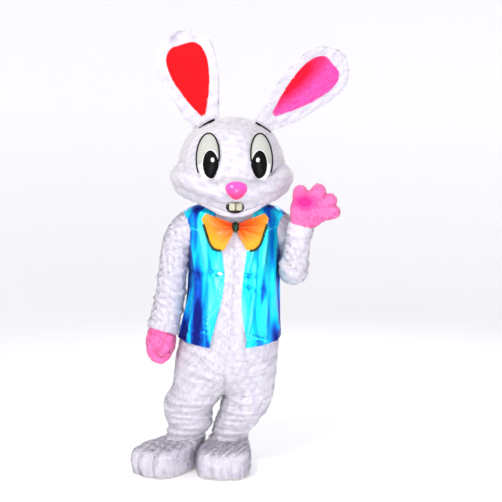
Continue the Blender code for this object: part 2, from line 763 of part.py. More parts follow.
def head_ring_height(row, c):
    """Height of a head ring where its angle has cosine c."""
    return row[0] + ((row[1] if c > 0 else row[2]) - row[0]) * c * c


def head_local(angle, height):
    """Point on the head at a height, in the head's own frame: angle 0 is the middle of the face."""
    s, c = math.sin(angle), math.cos(angle)
    rows = list(reversed(HEAD[:-1]))
    heights = [head_ring_height(row, c) for row in rows]
    half_width = np.interp(height, heights, [row[3] for row in rows])
    reach = np.interp(height, heights, [row[4 if c > 0 else 5] for row in rows])
    return np.array([half_width * s, -reach * c, up(height)])


def head_normal(angle, height):
    """Outward normal of the head at a place, in its own frame."""
    run = head_local(angle + 0.02, height) - head_local(angle - 0.02, height)
    drop = head_local(angle, height - 0.006) - head_local(angle, height + 0.006)
    return unit(np.cross(drop, run))


def head_grid():
    """Rings of the head's outside from the crown to the neck."""
    rings = []
    for row in HEAD:
        ring = []
        for j in range(AROUND):
            angle = math.tau * j / AROUND
            s, c = math.sin(angle), math.cos(angle)
            reach = row[4] if c > 0 else row[5]
            ring.append(turned((row[3] * s, -reach * c, up(head_ring_height(row, c)))))
        rings.append(ring)
    return np.array(rings)


def head_shell():
    """The hollow head, open at the neck, whose rim lies against the collar of the suit. Returns its cutter."""
    outer = head_grid()
    normals = grid_normals(outer, True)
    inner = outer - normals * HEAD_WALL
    rim = [[torso_point(h, math.tau * j / AROUND, SEAM) for j in range(AROUND)] for h in HEAD_RIM]
    outer = np.concatenate([outer, [rim[0]]])
    inner = np.concatenate([inner, [rim[1]]])
    rows = len(outer)
    count = rows * AROUND
    top = np.array([HEAD_X, 0, up(HEAD_TOP)])
    points = list(outer.reshape(-1, 3)) + list(inner.reshape(-1, 3)) + [top, top - (0, 0, HEAD_WALL)]
    faces = grid_faces(rows, AROUND, True) + grid_faces(rows, AROUND, True, count, True)
    for j in range(AROUND):
        k = (j + 1) % AROUND
        faces += [(2 * count, k, j), (2 * count + 1, count + j, count + k)]
        a, b = (rows - 1) * AROUND + j, (rows - 1) * AROUND + k
        faces += [(a, b, b + count), (a, b + count, a + count)]
    make("head_shell", points, faces, "white_plush")
    grown = head_grid() + normals * SEAM
    crown = np.array([[top + (0, 0, SEAM) + (point - top) * 0.02 for point in grown[0]]])
    return plug("cutter_head", np.concatenate([crown, grown]))


def pad(name, table, across, grow, slot=None):
    """A stuffed band on the head: a table of its edges at each angle, bulging between them."""
    right_half = [(-row[0],) + row[1:] for row in reversed(table[1:])]
    outer, inner = [], []
    for degrees, low, high, bulge in right_half + list(table):
        angle = math.radians(degrees)
        outer_row, inner_row = [], []
        for part in across:
            margin = grow * (1 if part == 1 else -1 if part == 0 else 0)
            height = low + (high - low) * part + margin
            point, normal = head_local(angle, height), head_normal(angle, height)
            stand = PAD_EDGE + bulge * math.sin(math.pi * part) ** PAD_ROUND + grow
            outer_row.append(turned(point + normal * stand))
            inner_row.append(turned(point - normal * PAD_SUNK))
        outer.append(outer_row)
        inner.append(inner_row)
    return wall(name, np.array(outer), np.array(inner), False, slot)


def ball(name, size, matrix, slot=None, across=16, down=8):
    """A round form of three half sizes at a place."""
    mesh = bpy.data.meshes.new(name)
    form = bmesh.new()
    bmesh.ops.create_uvsphere(form, u_segments=across, v_segments=down, radius=1.0)
    bmesh.ops.transform(form, matrix=matrix @ Matrix.Diagonal((*size, 1)), verts=form.verts)
    form.to_mesh(mesh)
    form.free()
    mesh.shade_smooth()
    node = bpy.data.objects.new(name, mesh)
    place(node, slot)
    return node


def face_frame(x, height, yaw=0.0, pitch=0.0, stand=0.0):
    """Frame on the face: its local -Y looks out of the head."""
    angle = math.asin(x / column([(r[0], r[3]) for r in HEAD], 1, height)) if x else 0.0
    point = head_local(angle, height) + head_normal(angle, height) * stand
    place_in = Matrix.Translation(Vector(turned(point)))
    return place_in @ Matrix.Rotation(FACE_TURN + yaw, 4, "Z") @ Matrix.Rotation(pitch, 4, "X")


def prism(name, matrix, half_x, half_z, reach, sides=16):
    """An upright oval bar that reaches out of the face, to cut a disc from a dome."""
    rings = []
    for y in (-reach, reach):
        ring = []
        for j in range(sides):
            turn = math.tau * j / sides
            ring.append(matrix @ Vector((half_x * math.cos(turn), y, half_z * math.sin(turn))))
        rings.append([tuple(p) for p in ring])
    return plug(name, rings)


def eyes(head, muzzle):
    """Domed eyes with a grey lid that arches over a black pupil and its glint, all tucked behind the cheeks."""
    for side, name in ((LEFT, "left"), (RIGHT, "right")):
        frame = face_frame(side * EYE_X, EYE_HEIGHT, side * EYE_YAW, EYE_PITCH)
        grown = [s + SEAM for s in EYE_SIZE]
        eye = ball(f"eye_{name}", EYE_SIZE, frame, "eye_white")
        combine(eye, "DIFFERENCE", head, muzzle)
        dome = ball(f"cutter_eye_{name}", grown, frame)
        lid = ball(f"eyelid_{name}", [s + LID_PROUD for s in EYE_SIZE], frame, "eyelid_grey")
        combine(lid, "INTERSECT", lid_box(f"cutter_lid_{name}", frame, side))
        middle = frame @ Matrix.Translation((-side * PUPIL_PLACE[0], 0, PUPIL_PLACE[1]))
        arch = prism(f"cutter_arch_{name}", middle, *[s + LID_RING for s in PUPIL_SIZE], EYE_REACH, 12)
        combine(lid, "DIFFERENCE", dome, arch, head, muzzle)
        pupil = ball(f"pupil_{name}", [s + PUPIL_PROUD for s in EYE_SIZE], frame, "black_vinyl")
        combine(pupil, "INTERSECT", prism(f"cutter_pupil_{name}", middle, *PUPIL_SIZE, EYE_REACH))
        behind_at = frame @ Matrix.Translation((0, BEHIND_SPACE[1], 0))
        behind = box(f"cutter_behind_{name}", behind_at, BEHIND_SPACE)
        combine(pupil, "DIFFERENCE", dome, behind, head, muzzle)
        spot = frame @ Matrix.Translation((-side * GLINT_PLACE[0], 0, GLINT_PLACE[1]))
        glint = ball(f"glint_{name}", [s + PUPIL_PROUD * 2 for s in EYE_SIZE], frame, "eye_white")
        combine(glint, "INTERSECT", prism(f"cutter_glint_{name}", spot, *GLINT_SIZE, EYE_REACH, 8))
        pupil_grown = ball(f"cutter_pupil_dome_{name}", [s + PUPIL_PROUD + SEAM for s in EYE_SIZE], frame)
        combine(glint, "DIFFERENCE", pupil_grown, behind)


def box(name, matrix, half, slot=None):
    """A plain box of three half sizes at a place."""
    mesh = bpy.data.meshes.new(name)
    form = bmesh.new()
    bmesh.ops.create_cube(form, size=2.0)
    bmesh.ops.transform(form, matrix=matrix @ Matrix.Diagonal((*half, 1)), verts=form.verts)
    form.to_mesh(mesh)
    form.free()
    node = bpy.data.objects.new(name, mesh)
    place(node, slot)
    return node


def lid_box(name, frame, side):
    """The space above the lid's lower edge, which slopes a little down and out."""
    tilt = Matrix.Rotation(side * LID_TILT, 4, "Y")
    edge = frame @ Matrix.Translation((0, 0, LID_EDGE)) @ tilt
    return box(name, edge @ Matrix.Translation((0, 0, LID_SPACE[2])), LID_SPACE)


def brows(head):
    """Black brows, thicker at the inner end, half sunk in the fur."""
    for side, name in ((LEFT, "left"), (RIGHT, "right")):
        path = smooth_rows([(*p, r) for p, r in zip(BROW_PATHS[side], BROW_RADII)], 2)
        rows = []
        for x, height, radius in path:
            half_width = np.interp(height, [r[0] for r in reversed(HEAD)], [r[3] for r in reversed(HEAD)])
            point = turned(head_local(side * math.asin(min(0.95, x / half_width)), height))
            rows.append((point[0], point[1], point[2] + SHOULDER_HEIGHT, radius, radius))
        rings = tube_rings(rows, 0.0, 8)
        brow = plug(f"brow_{name}", rings, "black_vinyl")
        combine(brow, "DIFFERENCE", head)


def nose(muzzle):
    """A rounded triangle with its point down."""
    frame = face_frame(0, NOSE_HEIGHT, 0, 0, MUZZLE[0][3] + NOSE_STAND)
    node = ball("nose", NOSE_SIZE, frame, "nose_vinyl", 14, 8)
    centre = frame.translation
    for vertex in node.data.vertices:
        part = (vertex.co.z - centre.z) / NOSE_SIZE[2]
        vertex.co.x = centre.x + (vertex.co.x - centre.x) * (1 - NOSE_TAPER * (1 - part))
    combine(node, "DIFFERENCE", muzzle)


def mouth_and_teeth(head, muzzle, chin):
    """The dark mouth between muzzle and chin, with two plain front teeth."""
    frame = face_frame(0, MOUTH_HEIGHT)
    mouth = ball("mouth", MOUTH_SIZE, frame, "black_vinyl", 12, 6)
    combine(mouth, "DIFFERENCE", head, muzzle, chin)
    mouth_grown = ball("cutter_mouth", [s + SEAM for s in MOUTH_SIZE], frame, None, 12, 6)
    for side, name in ((LEFT, "left"), (RIGHT, "right")):
        place_at = turned((side * TOOTH_PLACE[0], TOOTH_PLACE[1], up(TOOTH_PLACE[2])))
        matrix = Matrix.Translation(Vector(place_at)) @ Matrix.Rotation(FACE_TURN, 4, "Z")
        tooth = box(f"tooth_{name}", matrix, [s / 2 for s in TOOTH_SIZE], "tooth_white")
        bevel = tooth.modifiers.new("rounded", "BEVEL")
        bevel.width = TOOTH_EDGE
        bevel.segments = 2
        combine(tooth, "DIFFERENCE", mouth_grown, muzzle)


def ear_section(width, lining_width):
    """One ring of an ear: five points across the lining, then the rim and the back."""
    def bend(x):
        return EAR_DISH * (1 - (x / width) ** 2) * min(1.0, width / 0.12)

    def bulge(x):
        return EAR_THICK * math.sqrt(max(0.0, 1 - (x / width) ** 2))

    front = [lining_width * k / 2 for k in (-2, -1, 0, 1, 2)]
    rim = (lining_width + width) / 2
    ring = [(x, bend(x) - bulge(x)) for x in front + [rim]]
    ring.append((width, 0.0))
    ring += [(x, bend(x) + bulge(x)) for x in (0.75 * width, 0.38 * width, 0, -0.38 * width, -0.75 * width)]
    ring.append((-width, 0.0))
    ring.append((-rim, bend(rim) - bulge(rim)))
    return ring


def ears(head):
    """Stuffed fur ears with a dished front and a lining of short plush laid in it."""
    for side, base_x, base_h, tip_x, tip_h, half_width in EARS:
        name = "left" if side == LEFT else "right"
        base = np.array([base_x, 0, up(base_h)])
        axis = np.array([tip_x, 0, up(tip_h)]) - base
        length = np.linalg.norm(axis)
        along = axis / length
        across = np.array([along[2], 0, -along[0]])
        rings, lining_outer, lining_inner = [], [], []
        for part, width_part, lining_part in EAR:
            width = width_part * half_width
            lining_width = (lining_part or 0.5 * width_part) * half_width
            centre = base + along * length * part
            ring = [centre + across * x + np.array([0, y, 0]) for x, y in ear_section(width, lining_width)]
            rings.append(ring)
            if lining_part:
                lining_inner.append([p - np.array([0, SEAM, 0]) for p in ring[:5]])
                lining_outer.append([p - np.array([0, SEAM + LINING, 0]) for p in ring[:5]])
        ear = plug(f"ear_{name}", rings, "white_plush")
        combine(ear, "DIFFERENCE", head)
        slot = "ear_plush_pink" if side == LEFT else "ear_plush_red"
        wall(f"ear_lining_{name}", np.array(lining_outer), np.array(lining_inner), False, slot)


def capsule(name, rows, sides=FINGER_SIDES):
    """A round-ended finger along a path of centres and radii."""
    rows = np.array([(x, y, h, r, r) for x, y, h, r in rows])
    start, end = rows[0].copy(), rows[-1].copy()
    back = unit(rows[1][:3] - rows[0][:3])
    ahead = unit(rows[-1][:3] - rows[-2][:3])
    near, tip = [], []
    for degrees in FINGER_ROOT_ROUND:
        angle = math.radians(degrees)
        row = start.copy()
        row[:3] -= back * row[3] * math.sin(angle)
        row[3:] *= math.cos(angle)
        near.append(row)
    for degrees in FINGER_TIP_ROUND:
        angle = math.radians(degrees)
        row = end.copy()
        row[:3] += ahead * row[3] * math.sin(angle)
        row[3:] *= math.cos(angle)
        tip.append(row)
    return plug(name, tube_rings(np.vstack([near, rows, tip]), 0.0, sides))


def glove(name, palm, fingers):
    """A plush glove: palm and fingers in one skin, open at the wrist."""
    rows = np.array(palm, dtype=float)
    tip = rows[-1].copy()
    ahead = unit(rows[-1][:3] - rows[-2][:3])
    tip[:3] += ahead * GLOVE_END
    tip[3:] *= GLOVE_END_SIZE
    node = plug(f"glove_{name}", tube_rings(np.vstack([rows, tip]), 0.0, ARM_SIDES, False), "pink_plush")
    combine(node, "UNION", *fingers)
    inside = tube_rings(rows[:-1], -GLOVE_WALL, ARM_SIDES, False)
    out = (inside[0] - inside[1]) * WRIST_OPENING
    combine(node, "DIFFERENCE", plug(f"cutter_hand_{name}", np.concatenate([[inside[0] + out], inside])))


def gloves():
    """The raised open glove and the hanging closed one."""
    deep = LEFT_PALM[4][1]
    fingers = []
    for k, (x0, h0, x1, h1, radius) in enumerate(LEFT_FINGERS):
        rows = []
        for part in FINGER_PARTS:
            x, height = x0 + (x1 - x0) * part, h0 + (h1 - h0) * part
            rows.append((x, deep - FINGER_LEAN * part, height, radius * (1 - FINGER_TAPER * (1 - part))))
        fingers.append(capsule(f"cutter_left_finger_{k}", rows))
    glove("left", LEFT_PALM, fingers)

    fingers = []
    for k, y in enumerate(RIGHT_FINGER_Y):
        fingers.append(capsule(f"cutter_right_finger_{k}", [(x, y, h, r) for x, h, r in RIGHT_CURL]))
    fingers.append(capsule("cutter_right_thumb", RIGHT_THUMB))
    glove("right", RIGHT_PALM, fingers)


def foot_angles():
    """Compass angles about the ankle, closer together beside the lines between the toes."""
    ahead = [math.radians(degrees) for degrees in FOOT_COMPASS]
    return ahead + [math.tau - angle for angle in reversed(ahead[1:-1])]


def foot_ring(size, shelf):
    """Outline of a foot as seen from the ankle: across and ahead at each compass angle."""
    bearings, reaches = [], []
    for step in range(-360, 361):
        turn = math.radians(step / 2)
        s, c = math.sin(turn), math.cos(turn)
        across = (FOOT_HALF_WIDTH + FOOT_SPREAD * c) * math.copysign(abs(s) ** FOOT_SQUARE, s)
        ahead = FOOT_HALF_LENGTH * math.copysign(abs(c) ** FOOT_SQUARE, c)
        if c > 0:
            ahead -= sum(TOE_DEPTH * math.exp(-((across - line) / TOE_BREADTH) ** 2) for line in TOE_LINES)
            ahead *= size
        across *= FOOT_SIDE_KEPT + (1 - FOOT_SIDE_KEPT) * size
        bearings.append(math.atan2(across, FOOT_MIDDLE + ahead))
        reaches.append(math.hypot(across, FOOT_MIDDLE + ahead))
    order = np.argsort(bearings)
    ring = []
    for angle in foot_angles():
        bearing = angle - math.tau if angle > math.pi else angle
        reach = np.interp(bearing, np.array(bearings)[order], np.array(reaches)[order])
        reach = reach * (1 - shelf) + SHELF_RADIUS * shelf
        ring.append(np.array([reach * math.sin(angle), reach * math.cos(angle)]))
    return ring


def feet():
    """Stuffed plush feet with three toes, a round shelf for the trouser hem and a collar inside it."""
    for side, ankle_x, ankle_y, heading in FEET:
        name = "left" if side == LEFT else "right"
        turn = math.radians(heading)
        axes = np.array([[math.cos(turn), math.sin(turn)], [math.sin(turn), -math.cos(turn)]])
        angles = foot_angles()

        def level(flat_ring, height):
            ring = []
            for flat in flat_ring:
                x, y = flat @ axes
                ring.append(np.array([ankle_x + x, ankle_y + y, up(height)]))
            return ring

        def circle(radius):
            return [np.array([radius * math.sin(angle), radius * math.cos(angle)]) for angle in angles]

        rings = [level(foot_ring(size, shelf), height) for height, size, shelf in FOOT]
        rings.append(level(circle(SHELF_RADIUS), SHELF_HEIGHT))
        rings += [level(circle(radius), height) for radius, height in COLLAR]
        outer = np.array(rings)[::-1]
        inner = outer - grid_normals(outer, True) * FOOT_WALL
        for end in (0, -1):
            inner[end, :, 2] = outer[end, :, 2]
        wall(f"shoe_{name}", outer, inner, True, "white_plush")
        base = FOOT[0][0] - SEAM
        slab = [level(foot_ring(SOLE_SIZE, 0), height) for height in (0.0, base)]
        plug(f"sole_{name}", slab, "sole_rubber")


def bow_tie(torso):
    """Two gathered satin wings and the knot between them, which sits on the chest."""
    x, y, height = BOW_KNOT_PLACE
    middle = Matrix.Translation((x, y, up(height)))
    knot = ball("bow_knot", BOW_KNOT, middle, "knot_satin", 12, 8)
    combine(knot, "DIFFERENCE", torso)
    knot_room = ball("cutter_knot", [s + SEAM for s in BOW_KNOT], middle, None, 12, 8)
    across = len(BOW_FAR)
    for side, name in ((LEFT, "left"), (RIGHT, "right")):
        front, back = [], []
        for step in range(BOW_STEPS + 1):
            part = step / BOW_STEPS
            front_row, back_row = [], []
            for k in range(across):
                near_part = k / (across - 1)
                near = np.array(BOW_NEAR[0]) * (1 - near_part) + np.array(BOW_NEAR[1]) * near_part
                x, height = near + (np.array(BOW_FAR[k]) - near) * part
                full = math.sin(math.pi * (0.12 + part * 0.86)) ** BOW_SWELL
                swell = BOW_KNOT_FULL + (1 - BOW_KNOT_FULL) * full
                edge = math.sin(math.pi * (0.08 + 0.84 * near_part)) ** BOW_ROUND
                gather = BOW_GATHER * math.cos(math.tau * BOW_GATHERS * near_part) * (1 - part)
                y = BOW_BACK_Y - BOW_THICK * swell * edge - gather
                front_row.append((BOW_X + side * x, y, up(height)))
                back_row.append((BOW_X + side * x, BOW_BACK_Y, up(height)))
            front.append(front_row)
            back.append(back_row)
        wing = wall(f"bow_wing_{name}", np.array(front), np.array(back), False, "orange_satin")
        combine(wing, "DIFFERENCE", knot_room)


for old in list(bpy.context.scene.objects):
    bpy.data.objects.remove(old, do_unlink=True)
PIECES = bpy.data.collections.new("rabbit_costume")
CUTTERS = bpy.data.collections.new("cutters")
for group in (PIECES, CUTTERS):
    bpy.context.scene.collection.children.link(group)

torso = torso_cutter()
armholes = {}
vest_rooms = {}
for side, name, arm, wrist in ((LEFT, "left", LEFT_ARM, LEFT_WRIST), (RIGHT, "right", RIGHT_ARM, RIGHT_WRIST)):
    armholes[side], vest_rooms[side] = sleeve(name, arm, wrist, torso)
for panel in suit_panels():
    combine(panel, "DIFFERENCE", armholes[LEFT if panel.name.endswith("left") else RIGHT])
suit_zip()
vest(vest_rooms)
head_cutter = head_shell()
muzzle = pad("muzzle", MUZZLE, MUZZLE_ACROSS, 0.0, "white_plush")
combine(muzzle, "DIFFERENCE", head_cutter)
muzzle_cutter = pad("cutter_muzzle", MUZZLE, MUZZLE_ACROSS, SEAM)
chin = pad("chin", CHIN, CHIN_ACROSS, 0.0, "white_plush")
combine(chin, "DIFFERENCE", head_cutter, muzzle_cutter)
chin_cutter = pad("cutter_chin", CHIN, CHIN_ACROSS, SEAM)
eyes(head_cutter, muzzle_cutter)
brows(head_cutter)
nose(muzzle_cutter)
mouth_and_teeth(head_cutter, muzzle_cutter, chin_cutter)
ears(head_cutter)
gloves()
feet()
bow_tie(torso)
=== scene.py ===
# %% [markdown]
# A rabbit mascot costume, worn and waving, with nobody in it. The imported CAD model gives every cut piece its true
# place. This lesson dresses those pieces: each cloth solid is copied, rounded and creased, and short pile is grown on
# the plush ones. The frame comes first, and the size of the CAD model is kept so that it can be compared at the end.

# %% Load the frame
import math

import bmesh
import bpy
import numpy as np
from mathutils import Matrix, Vector
from mathutils.bvhtree import BVHTree


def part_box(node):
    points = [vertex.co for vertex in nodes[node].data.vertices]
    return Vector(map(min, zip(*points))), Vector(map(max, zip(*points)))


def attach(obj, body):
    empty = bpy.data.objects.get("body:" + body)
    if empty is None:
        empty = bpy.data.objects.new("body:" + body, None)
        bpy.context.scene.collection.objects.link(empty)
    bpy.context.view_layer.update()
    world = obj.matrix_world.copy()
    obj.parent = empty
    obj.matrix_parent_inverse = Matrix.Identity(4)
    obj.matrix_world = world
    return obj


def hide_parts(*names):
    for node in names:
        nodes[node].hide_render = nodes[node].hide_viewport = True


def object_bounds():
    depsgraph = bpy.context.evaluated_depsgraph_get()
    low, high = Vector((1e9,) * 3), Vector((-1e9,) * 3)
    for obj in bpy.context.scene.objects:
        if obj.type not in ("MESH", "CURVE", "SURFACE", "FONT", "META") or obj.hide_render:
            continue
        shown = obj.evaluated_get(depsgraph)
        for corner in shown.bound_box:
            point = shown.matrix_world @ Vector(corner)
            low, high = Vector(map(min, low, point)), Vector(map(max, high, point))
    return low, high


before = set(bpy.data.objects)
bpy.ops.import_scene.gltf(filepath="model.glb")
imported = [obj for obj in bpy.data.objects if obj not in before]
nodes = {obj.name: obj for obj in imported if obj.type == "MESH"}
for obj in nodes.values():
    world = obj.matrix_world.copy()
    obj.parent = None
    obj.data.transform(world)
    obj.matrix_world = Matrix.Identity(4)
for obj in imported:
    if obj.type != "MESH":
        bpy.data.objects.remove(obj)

cad_box = [[float(v) for v in corner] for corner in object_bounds()]
print("CAD nodes:", len(nodes), "CAD box:", cad_box)

# %% [markdown]
# Colours are written as the sRGB hex values that a paint program shows, and one function turns them to the linear
# values that Blender's shaders take. A second small function adds a shader node, sets its values and links it.

# %% Colour and shader helpers
def linear(hex_colour):
    """Turn an sRGB hex colour into linear red, green, blue and alpha."""
    channels = [int(hex_colour[start:start + 2], 16) / 255 for start in (1, 3, 5)]
    return [c / 12.92 if c <= 0.04045 else ((c + 0.055) / 1.055) ** 2.4 for c in channels] + [1.0]


def add(material, kind, settings, links=()):
    """Add one shader node with its settings; links are (socket name, output to join)."""
    node = material.node_tree.nodes.new("ShaderNode" + kind)
    for key, value in settings.items():
        if key == "stops":
            for k, (place, colour) in enumerate(value):
                stops = node.color_ramp.elements
                stop = stops[k] if k < 2 else stops.new(place)
                stop.position = place
                stop.color = linear(colour)
        elif key in node.inputs:
            node.inputs[key].default_value = value
        else:
            setattr(node, key, value)
    for socket, output in links:
        material.node_tree.links.new(output, node.inputs[socket])
    return node


def start(name, values):
    """Start a material: its Principled shader with plain values set on its own sockets."""
    material = bpy.data.materials.new(name)
    material.use_nodes = True
    shader = material.node_tree.nodes["Principled BSDF"]
    for key, value in values.items():
        shader.inputs[key].default_value = value
    return material, shader


def cover(material, shader, tint, relief=None):
    """Join a tint, and a relief if there is one, to the shader."""
    material.node_tree.links.new(tint.outputs["Color"], shader.inputs["Base Color"])
    if relief:
        material.node_tree.links.new(relief.outputs["Normal"], shader.inputs["Normal"])
    return material


print("white plush in linear light:", [round(v, 3) for v in linear("#F6F3FA")[:3]])

# %% [markdown]
# Plush is a knitted backing with short cut pile. From a few metres it is matt, a little darker between clumps, and it
# has a pale sheen where the surface turns away. The skin under the pile gets clumps of about 12 mm and a nap of 2 mm.
# The pile's own material reads two numbers that are stored on each blade: how near the tip a point is, which paints
# shade at the root, and a tone.

# %% Plush: backing and pile
def plush_backing(name, hollow, crest):
    """Matt knitted backing with clumps and a fine nap."""
    material, shader = start(name, {"Roughness": 0.95, "Sheen Weight": 0.25, "Sheen Roughness": 0.5,
                                    "Specular IOR Level": 0.2})
    place = add(material, "TexCoord", {})
    clumps = add(material, "TexNoise", {"Scale": 80.0, "Detail": 3.0}, [("Vector", place.outputs["Object"])])
    tint = add(material, "ValToRGB", {"stops": ((0.3, hollow), (0.65, crest))}, [("Fac", clumps.outputs["Fac"])])
    nap = add(material, "TexNoise", {"Scale": 500.0, "Detail": 2.0}, [("Vector", place.outputs["Object"])])
    bump = add(material, "Bump", {"Strength": 0.5, "Distance": 0.002}, [("Height", nap.outputs["Fac"])])
    return cover(material, shader, tint, bump)


def plush_pile(name, root, tip, dull):
    """Cut pile: painted shade darkens it at the root, and each blade is a little different."""
    material, shader = start(name, {"Roughness": 0.8, "Sheen Weight": 0.3, "Sheen Roughness": 0.45,
                                    "Specular IOR Level": 0.25})
    along = add(material, "Attribute", {"attribute_name": "tip"})
    # Painted shade: each blade darkens from its tip down to its root.
    depth = add(material, "ValToRGB", {"stops": ((0.0, root), (0.7, tip))}, [("Fac", along.outputs["Fac"])])
    own = add(material, "Attribute", {"attribute_name": "tone"})
    tone = add(material, "ValToRGB", {"stops": ((0.0, dull), (0.8, "#FFFFFF"))}, [("Fac", own.outputs["Fac"])])
    both = add(material, "MixRGB", {"blend_type": "MULTIPLY", "Fac": 1.0},
               [("Color1", depth.outputs["Color"]), ("Color2", tone.outputs["Color"])])
    return cover(material, shader, both)


def paint_shade_patch(material, centre, reach, tint, lean=0.0):
    """Paint shade into a soft patch of a plush, as in a glove's palm or along the top of an ear lining."""
    colour_in = material.node_tree.nodes["Principled BSDF"].inputs["Base Color"]
    plain = colour_in.links[0].from_socket
    place = add(material, "TexCoord", {})
    off = add(material, "Mapping", {"vector_type": "TEXTURE", "Location": centre, "Scale": reach,
                                   "Rotation": (0.0, lean, 0.0)}, [("Vector", place.outputs["Object"])])
    far = add(material, "VectorMath", {"operation": "LENGTH"}, [("Vector", off.outputs["Vector"])])
    patch = add(material, "ValToRGB", {"stops": ((0.35, tint), (1.0, "#FFFFFF"))}, [("Fac", far.outputs["Value"])])
    deep = add(material, "MixRGB", {"blend_type": "MULTIPLY", "Fac": 1.0},
               [("Color1", plain), ("Color2", patch.outputs["Color"])])
    material.node_tree.links.new(deep.outputs["Color"], colour_in)


white_backing = plush_backing("white plush backing", "#D6D0E0", "#F2EFF6")
white_pile = plush_pile("white cut pile", "#D2CCDE", "#FFFEFF", "#E8E4F0")
pink_backing = plush_backing("pink plush backing", "#F055A8", "#FF86C4")
pink_pile = plush_pile("pink cut pile", "#EE50A4", "#FF9ACE", "#FFC8E2")
# Painted shade: the red lining plush is the hot pink lining plush darkened as it looks in shadow.
red_shaded_lining_backing = plush_backing("red lining plush", "#D80010", "#F80818")
red_shaded_lining_pile = plush_pile("red short pile", "#CC000C", "#FC1020", "#FF9898")
rose_backing = plush_backing("hot pink lining plush", "#E8389C", "#FF5AB8")
rose_pile = plush_pile("hot pink short pile", "#E03090", "#FF68BE", "#FFB0D4")
# Painted shade: a deeper patch in the hollow of the glove's palm, and one along the top of the hot pink ear lining.
PALM_SHADE = ((0.333, -0.215, 0.030), (0.075, 0.10, 0.050), "#FF6ED2", 0.0)
EAR_TOP_SHADE = ((0.285, 0.0, 0.615), (0.30, 1.0, 0.085), "#FF3050", -0.725)
for finish, patch in ((pink_backing, PALM_SHADE), (pink_pile, PALM_SHADE), (rose_backing, EAR_TOP_SHADE), (rose_pile, EAR_TOP_SHADE)):
    paint_shade_patch(finish, *patch)
print("plush finishes:", [m.name for m in (white_pile, pink_pile, red_shaded_lining_pile, rose_pile)])

# %% [markdown]
# Satin floats its warp threads over the weft, so it mirrors light along one direction and turns from deep to bright
# within a fold. The waistcoat's is foiled: a metallic blue film on satin. Its tint is painted reflection, from navy to
# cyan in broad soft bands about 50 mm wide and 300 mm long, plus painted light from a number stored on the cloth:
# painted highlight on the crests of folds and near the front edges, painted shade at the sides and low down.
# Its bump follows the threads, drawn 2 mm wide.

# %% Foiled satin of the waistcoat
FOLD_LIGHT_SHARE = 0.16


def foiled_satin():
    """Metallic blue satin: bands of painted reflection and painted fold light, and fine threads that run down the
    cloth.
    """
    material, shader = start("metallic blue satin", {"Metallic": 0.72, "Roughness": 0.27, "Sheen Weight": 0.25,
                                                     "Sheen Roughness": 0.3, "Sheen Tint": linear("#50E8FF")})
    place = add(material, "TexCoord", {})
    # Painted reflection: broad soft bands tint the foiled satin from navy to cyan.
    fall = add(material, "Mapping", {"Scale": (19.0, 19.0, 3.4), "Rotation": (0.0, 0.10, 0.0)},
               [("Vector", place.outputs["Object"])])
    reflection_bands = add(material, "TexNoise", {"Scale": 1.0, "Detail": 1.6, "Distortion": 0.35},
                [("Vector", fall.outputs["Vector"])])
    # The crest number on the cloth adds painted highlight on fold crests and front edges, and painted shade at the
    # sides.
    crest = add(material, "Attribute", {"attribute_name": "crest"})
    painted_light = add(material, "Math", {"operation": "MULTIPLY_ADD"},
                 [(0, crest.outputs["Fac"]), (2, reflection_bands.outputs["Fac"])])
    painted_light.inputs[1].default_value = FOLD_LIGHT_SHARE
    tint = add(material, "ValToRGB", {"stops": ((0.30, "#051C86"), (0.39, "#045CD8"), (0.47, "#00A6F6"),
                                                (0.55, "#00E0FF"), (0.80, "#58F6FF"))},
               [("Fac", painted_light.outputs["Value"])])
    warp = add(material, "Mapping", {"Scale": (480.0, 480.0, 30.0)}, [("Vector", place.outputs["Object"])])
    threads = add(material, "TexNoise", {"Scale": 1.0, "Detail": 2.0}, [("Vector", warp.outputs["Vector"])])
    bump = add(material, "Bump", {"Strength": 0.25, "Distance": 0.001}, [("Height", threads.outputs["Fac"])])
    return cover(material, shader, tint, bump)


blue_satin = foiled_satin()
thread = plush_backing("blue polyester thread", "#0A3CB4", "#1E78E8")
print("waistcoat:", blue_satin.name, "with", thread.name)

# %% [markdown]
# The bow is satin dyed from orange at the knot to yellow at its ends, and it is bound in a dark green satin that the
# knot is made of too; the binding is partly painted shade, standing in for the shade along the bow's lower edges.
# A distance from the knot, flattened to the bow's own proportions, drives the dye.

# %% Satins of the bow
KNOT = np.array([0.010, -0.166, -0.088])


def bow_satin():
    """Satin dyed from orange at the knot to yellow at the far ends."""
    material, shader = start("orange to yellow satin", {"Roughness": 0.36, "Sheen Weight": 0.35,
                                                        "Sheen Roughness": 0.35})
    place = add(material, "TexCoord", {})
    centred = add(material, "Mapping", {"vector_type": "TEXTURE", "Location": tuple(KNOT + (0, 0, 0.035)),
                                        "Scale": (0.17, 1.0, 0.13)}, [("Vector", place.outputs["Object"])])
    level = add(material, "VectorMath", {"operation": "MULTIPLY"}, [("Vector", centred.outputs["Vector"])])
    level.inputs[1].default_value = (1.0, 0.0, 1.0)
    reach = add(material, "VectorMath", {"operation": "LENGTH"}, [("Vector", level.outputs["Vector"])])
    dye = add(material, "ValToRGB", {"stops": ((0.20, "#F44C00"), (0.60, "#FF7A00"), (1.05, "#FFAC00"))},
              [("Fac", reach.outputs["Value"])])
    weave = add(material, "TexNoise", {"Scale": 160.0, "Detail": 2.0}, [("Vector", place.outputs["Object"])])
    bump = add(material, "Bump", {"Strength": 0.2, "Distance": 0.001}, [("Height", weave.outputs["Fac"])])
    return cover(material, shader, dye, bump)


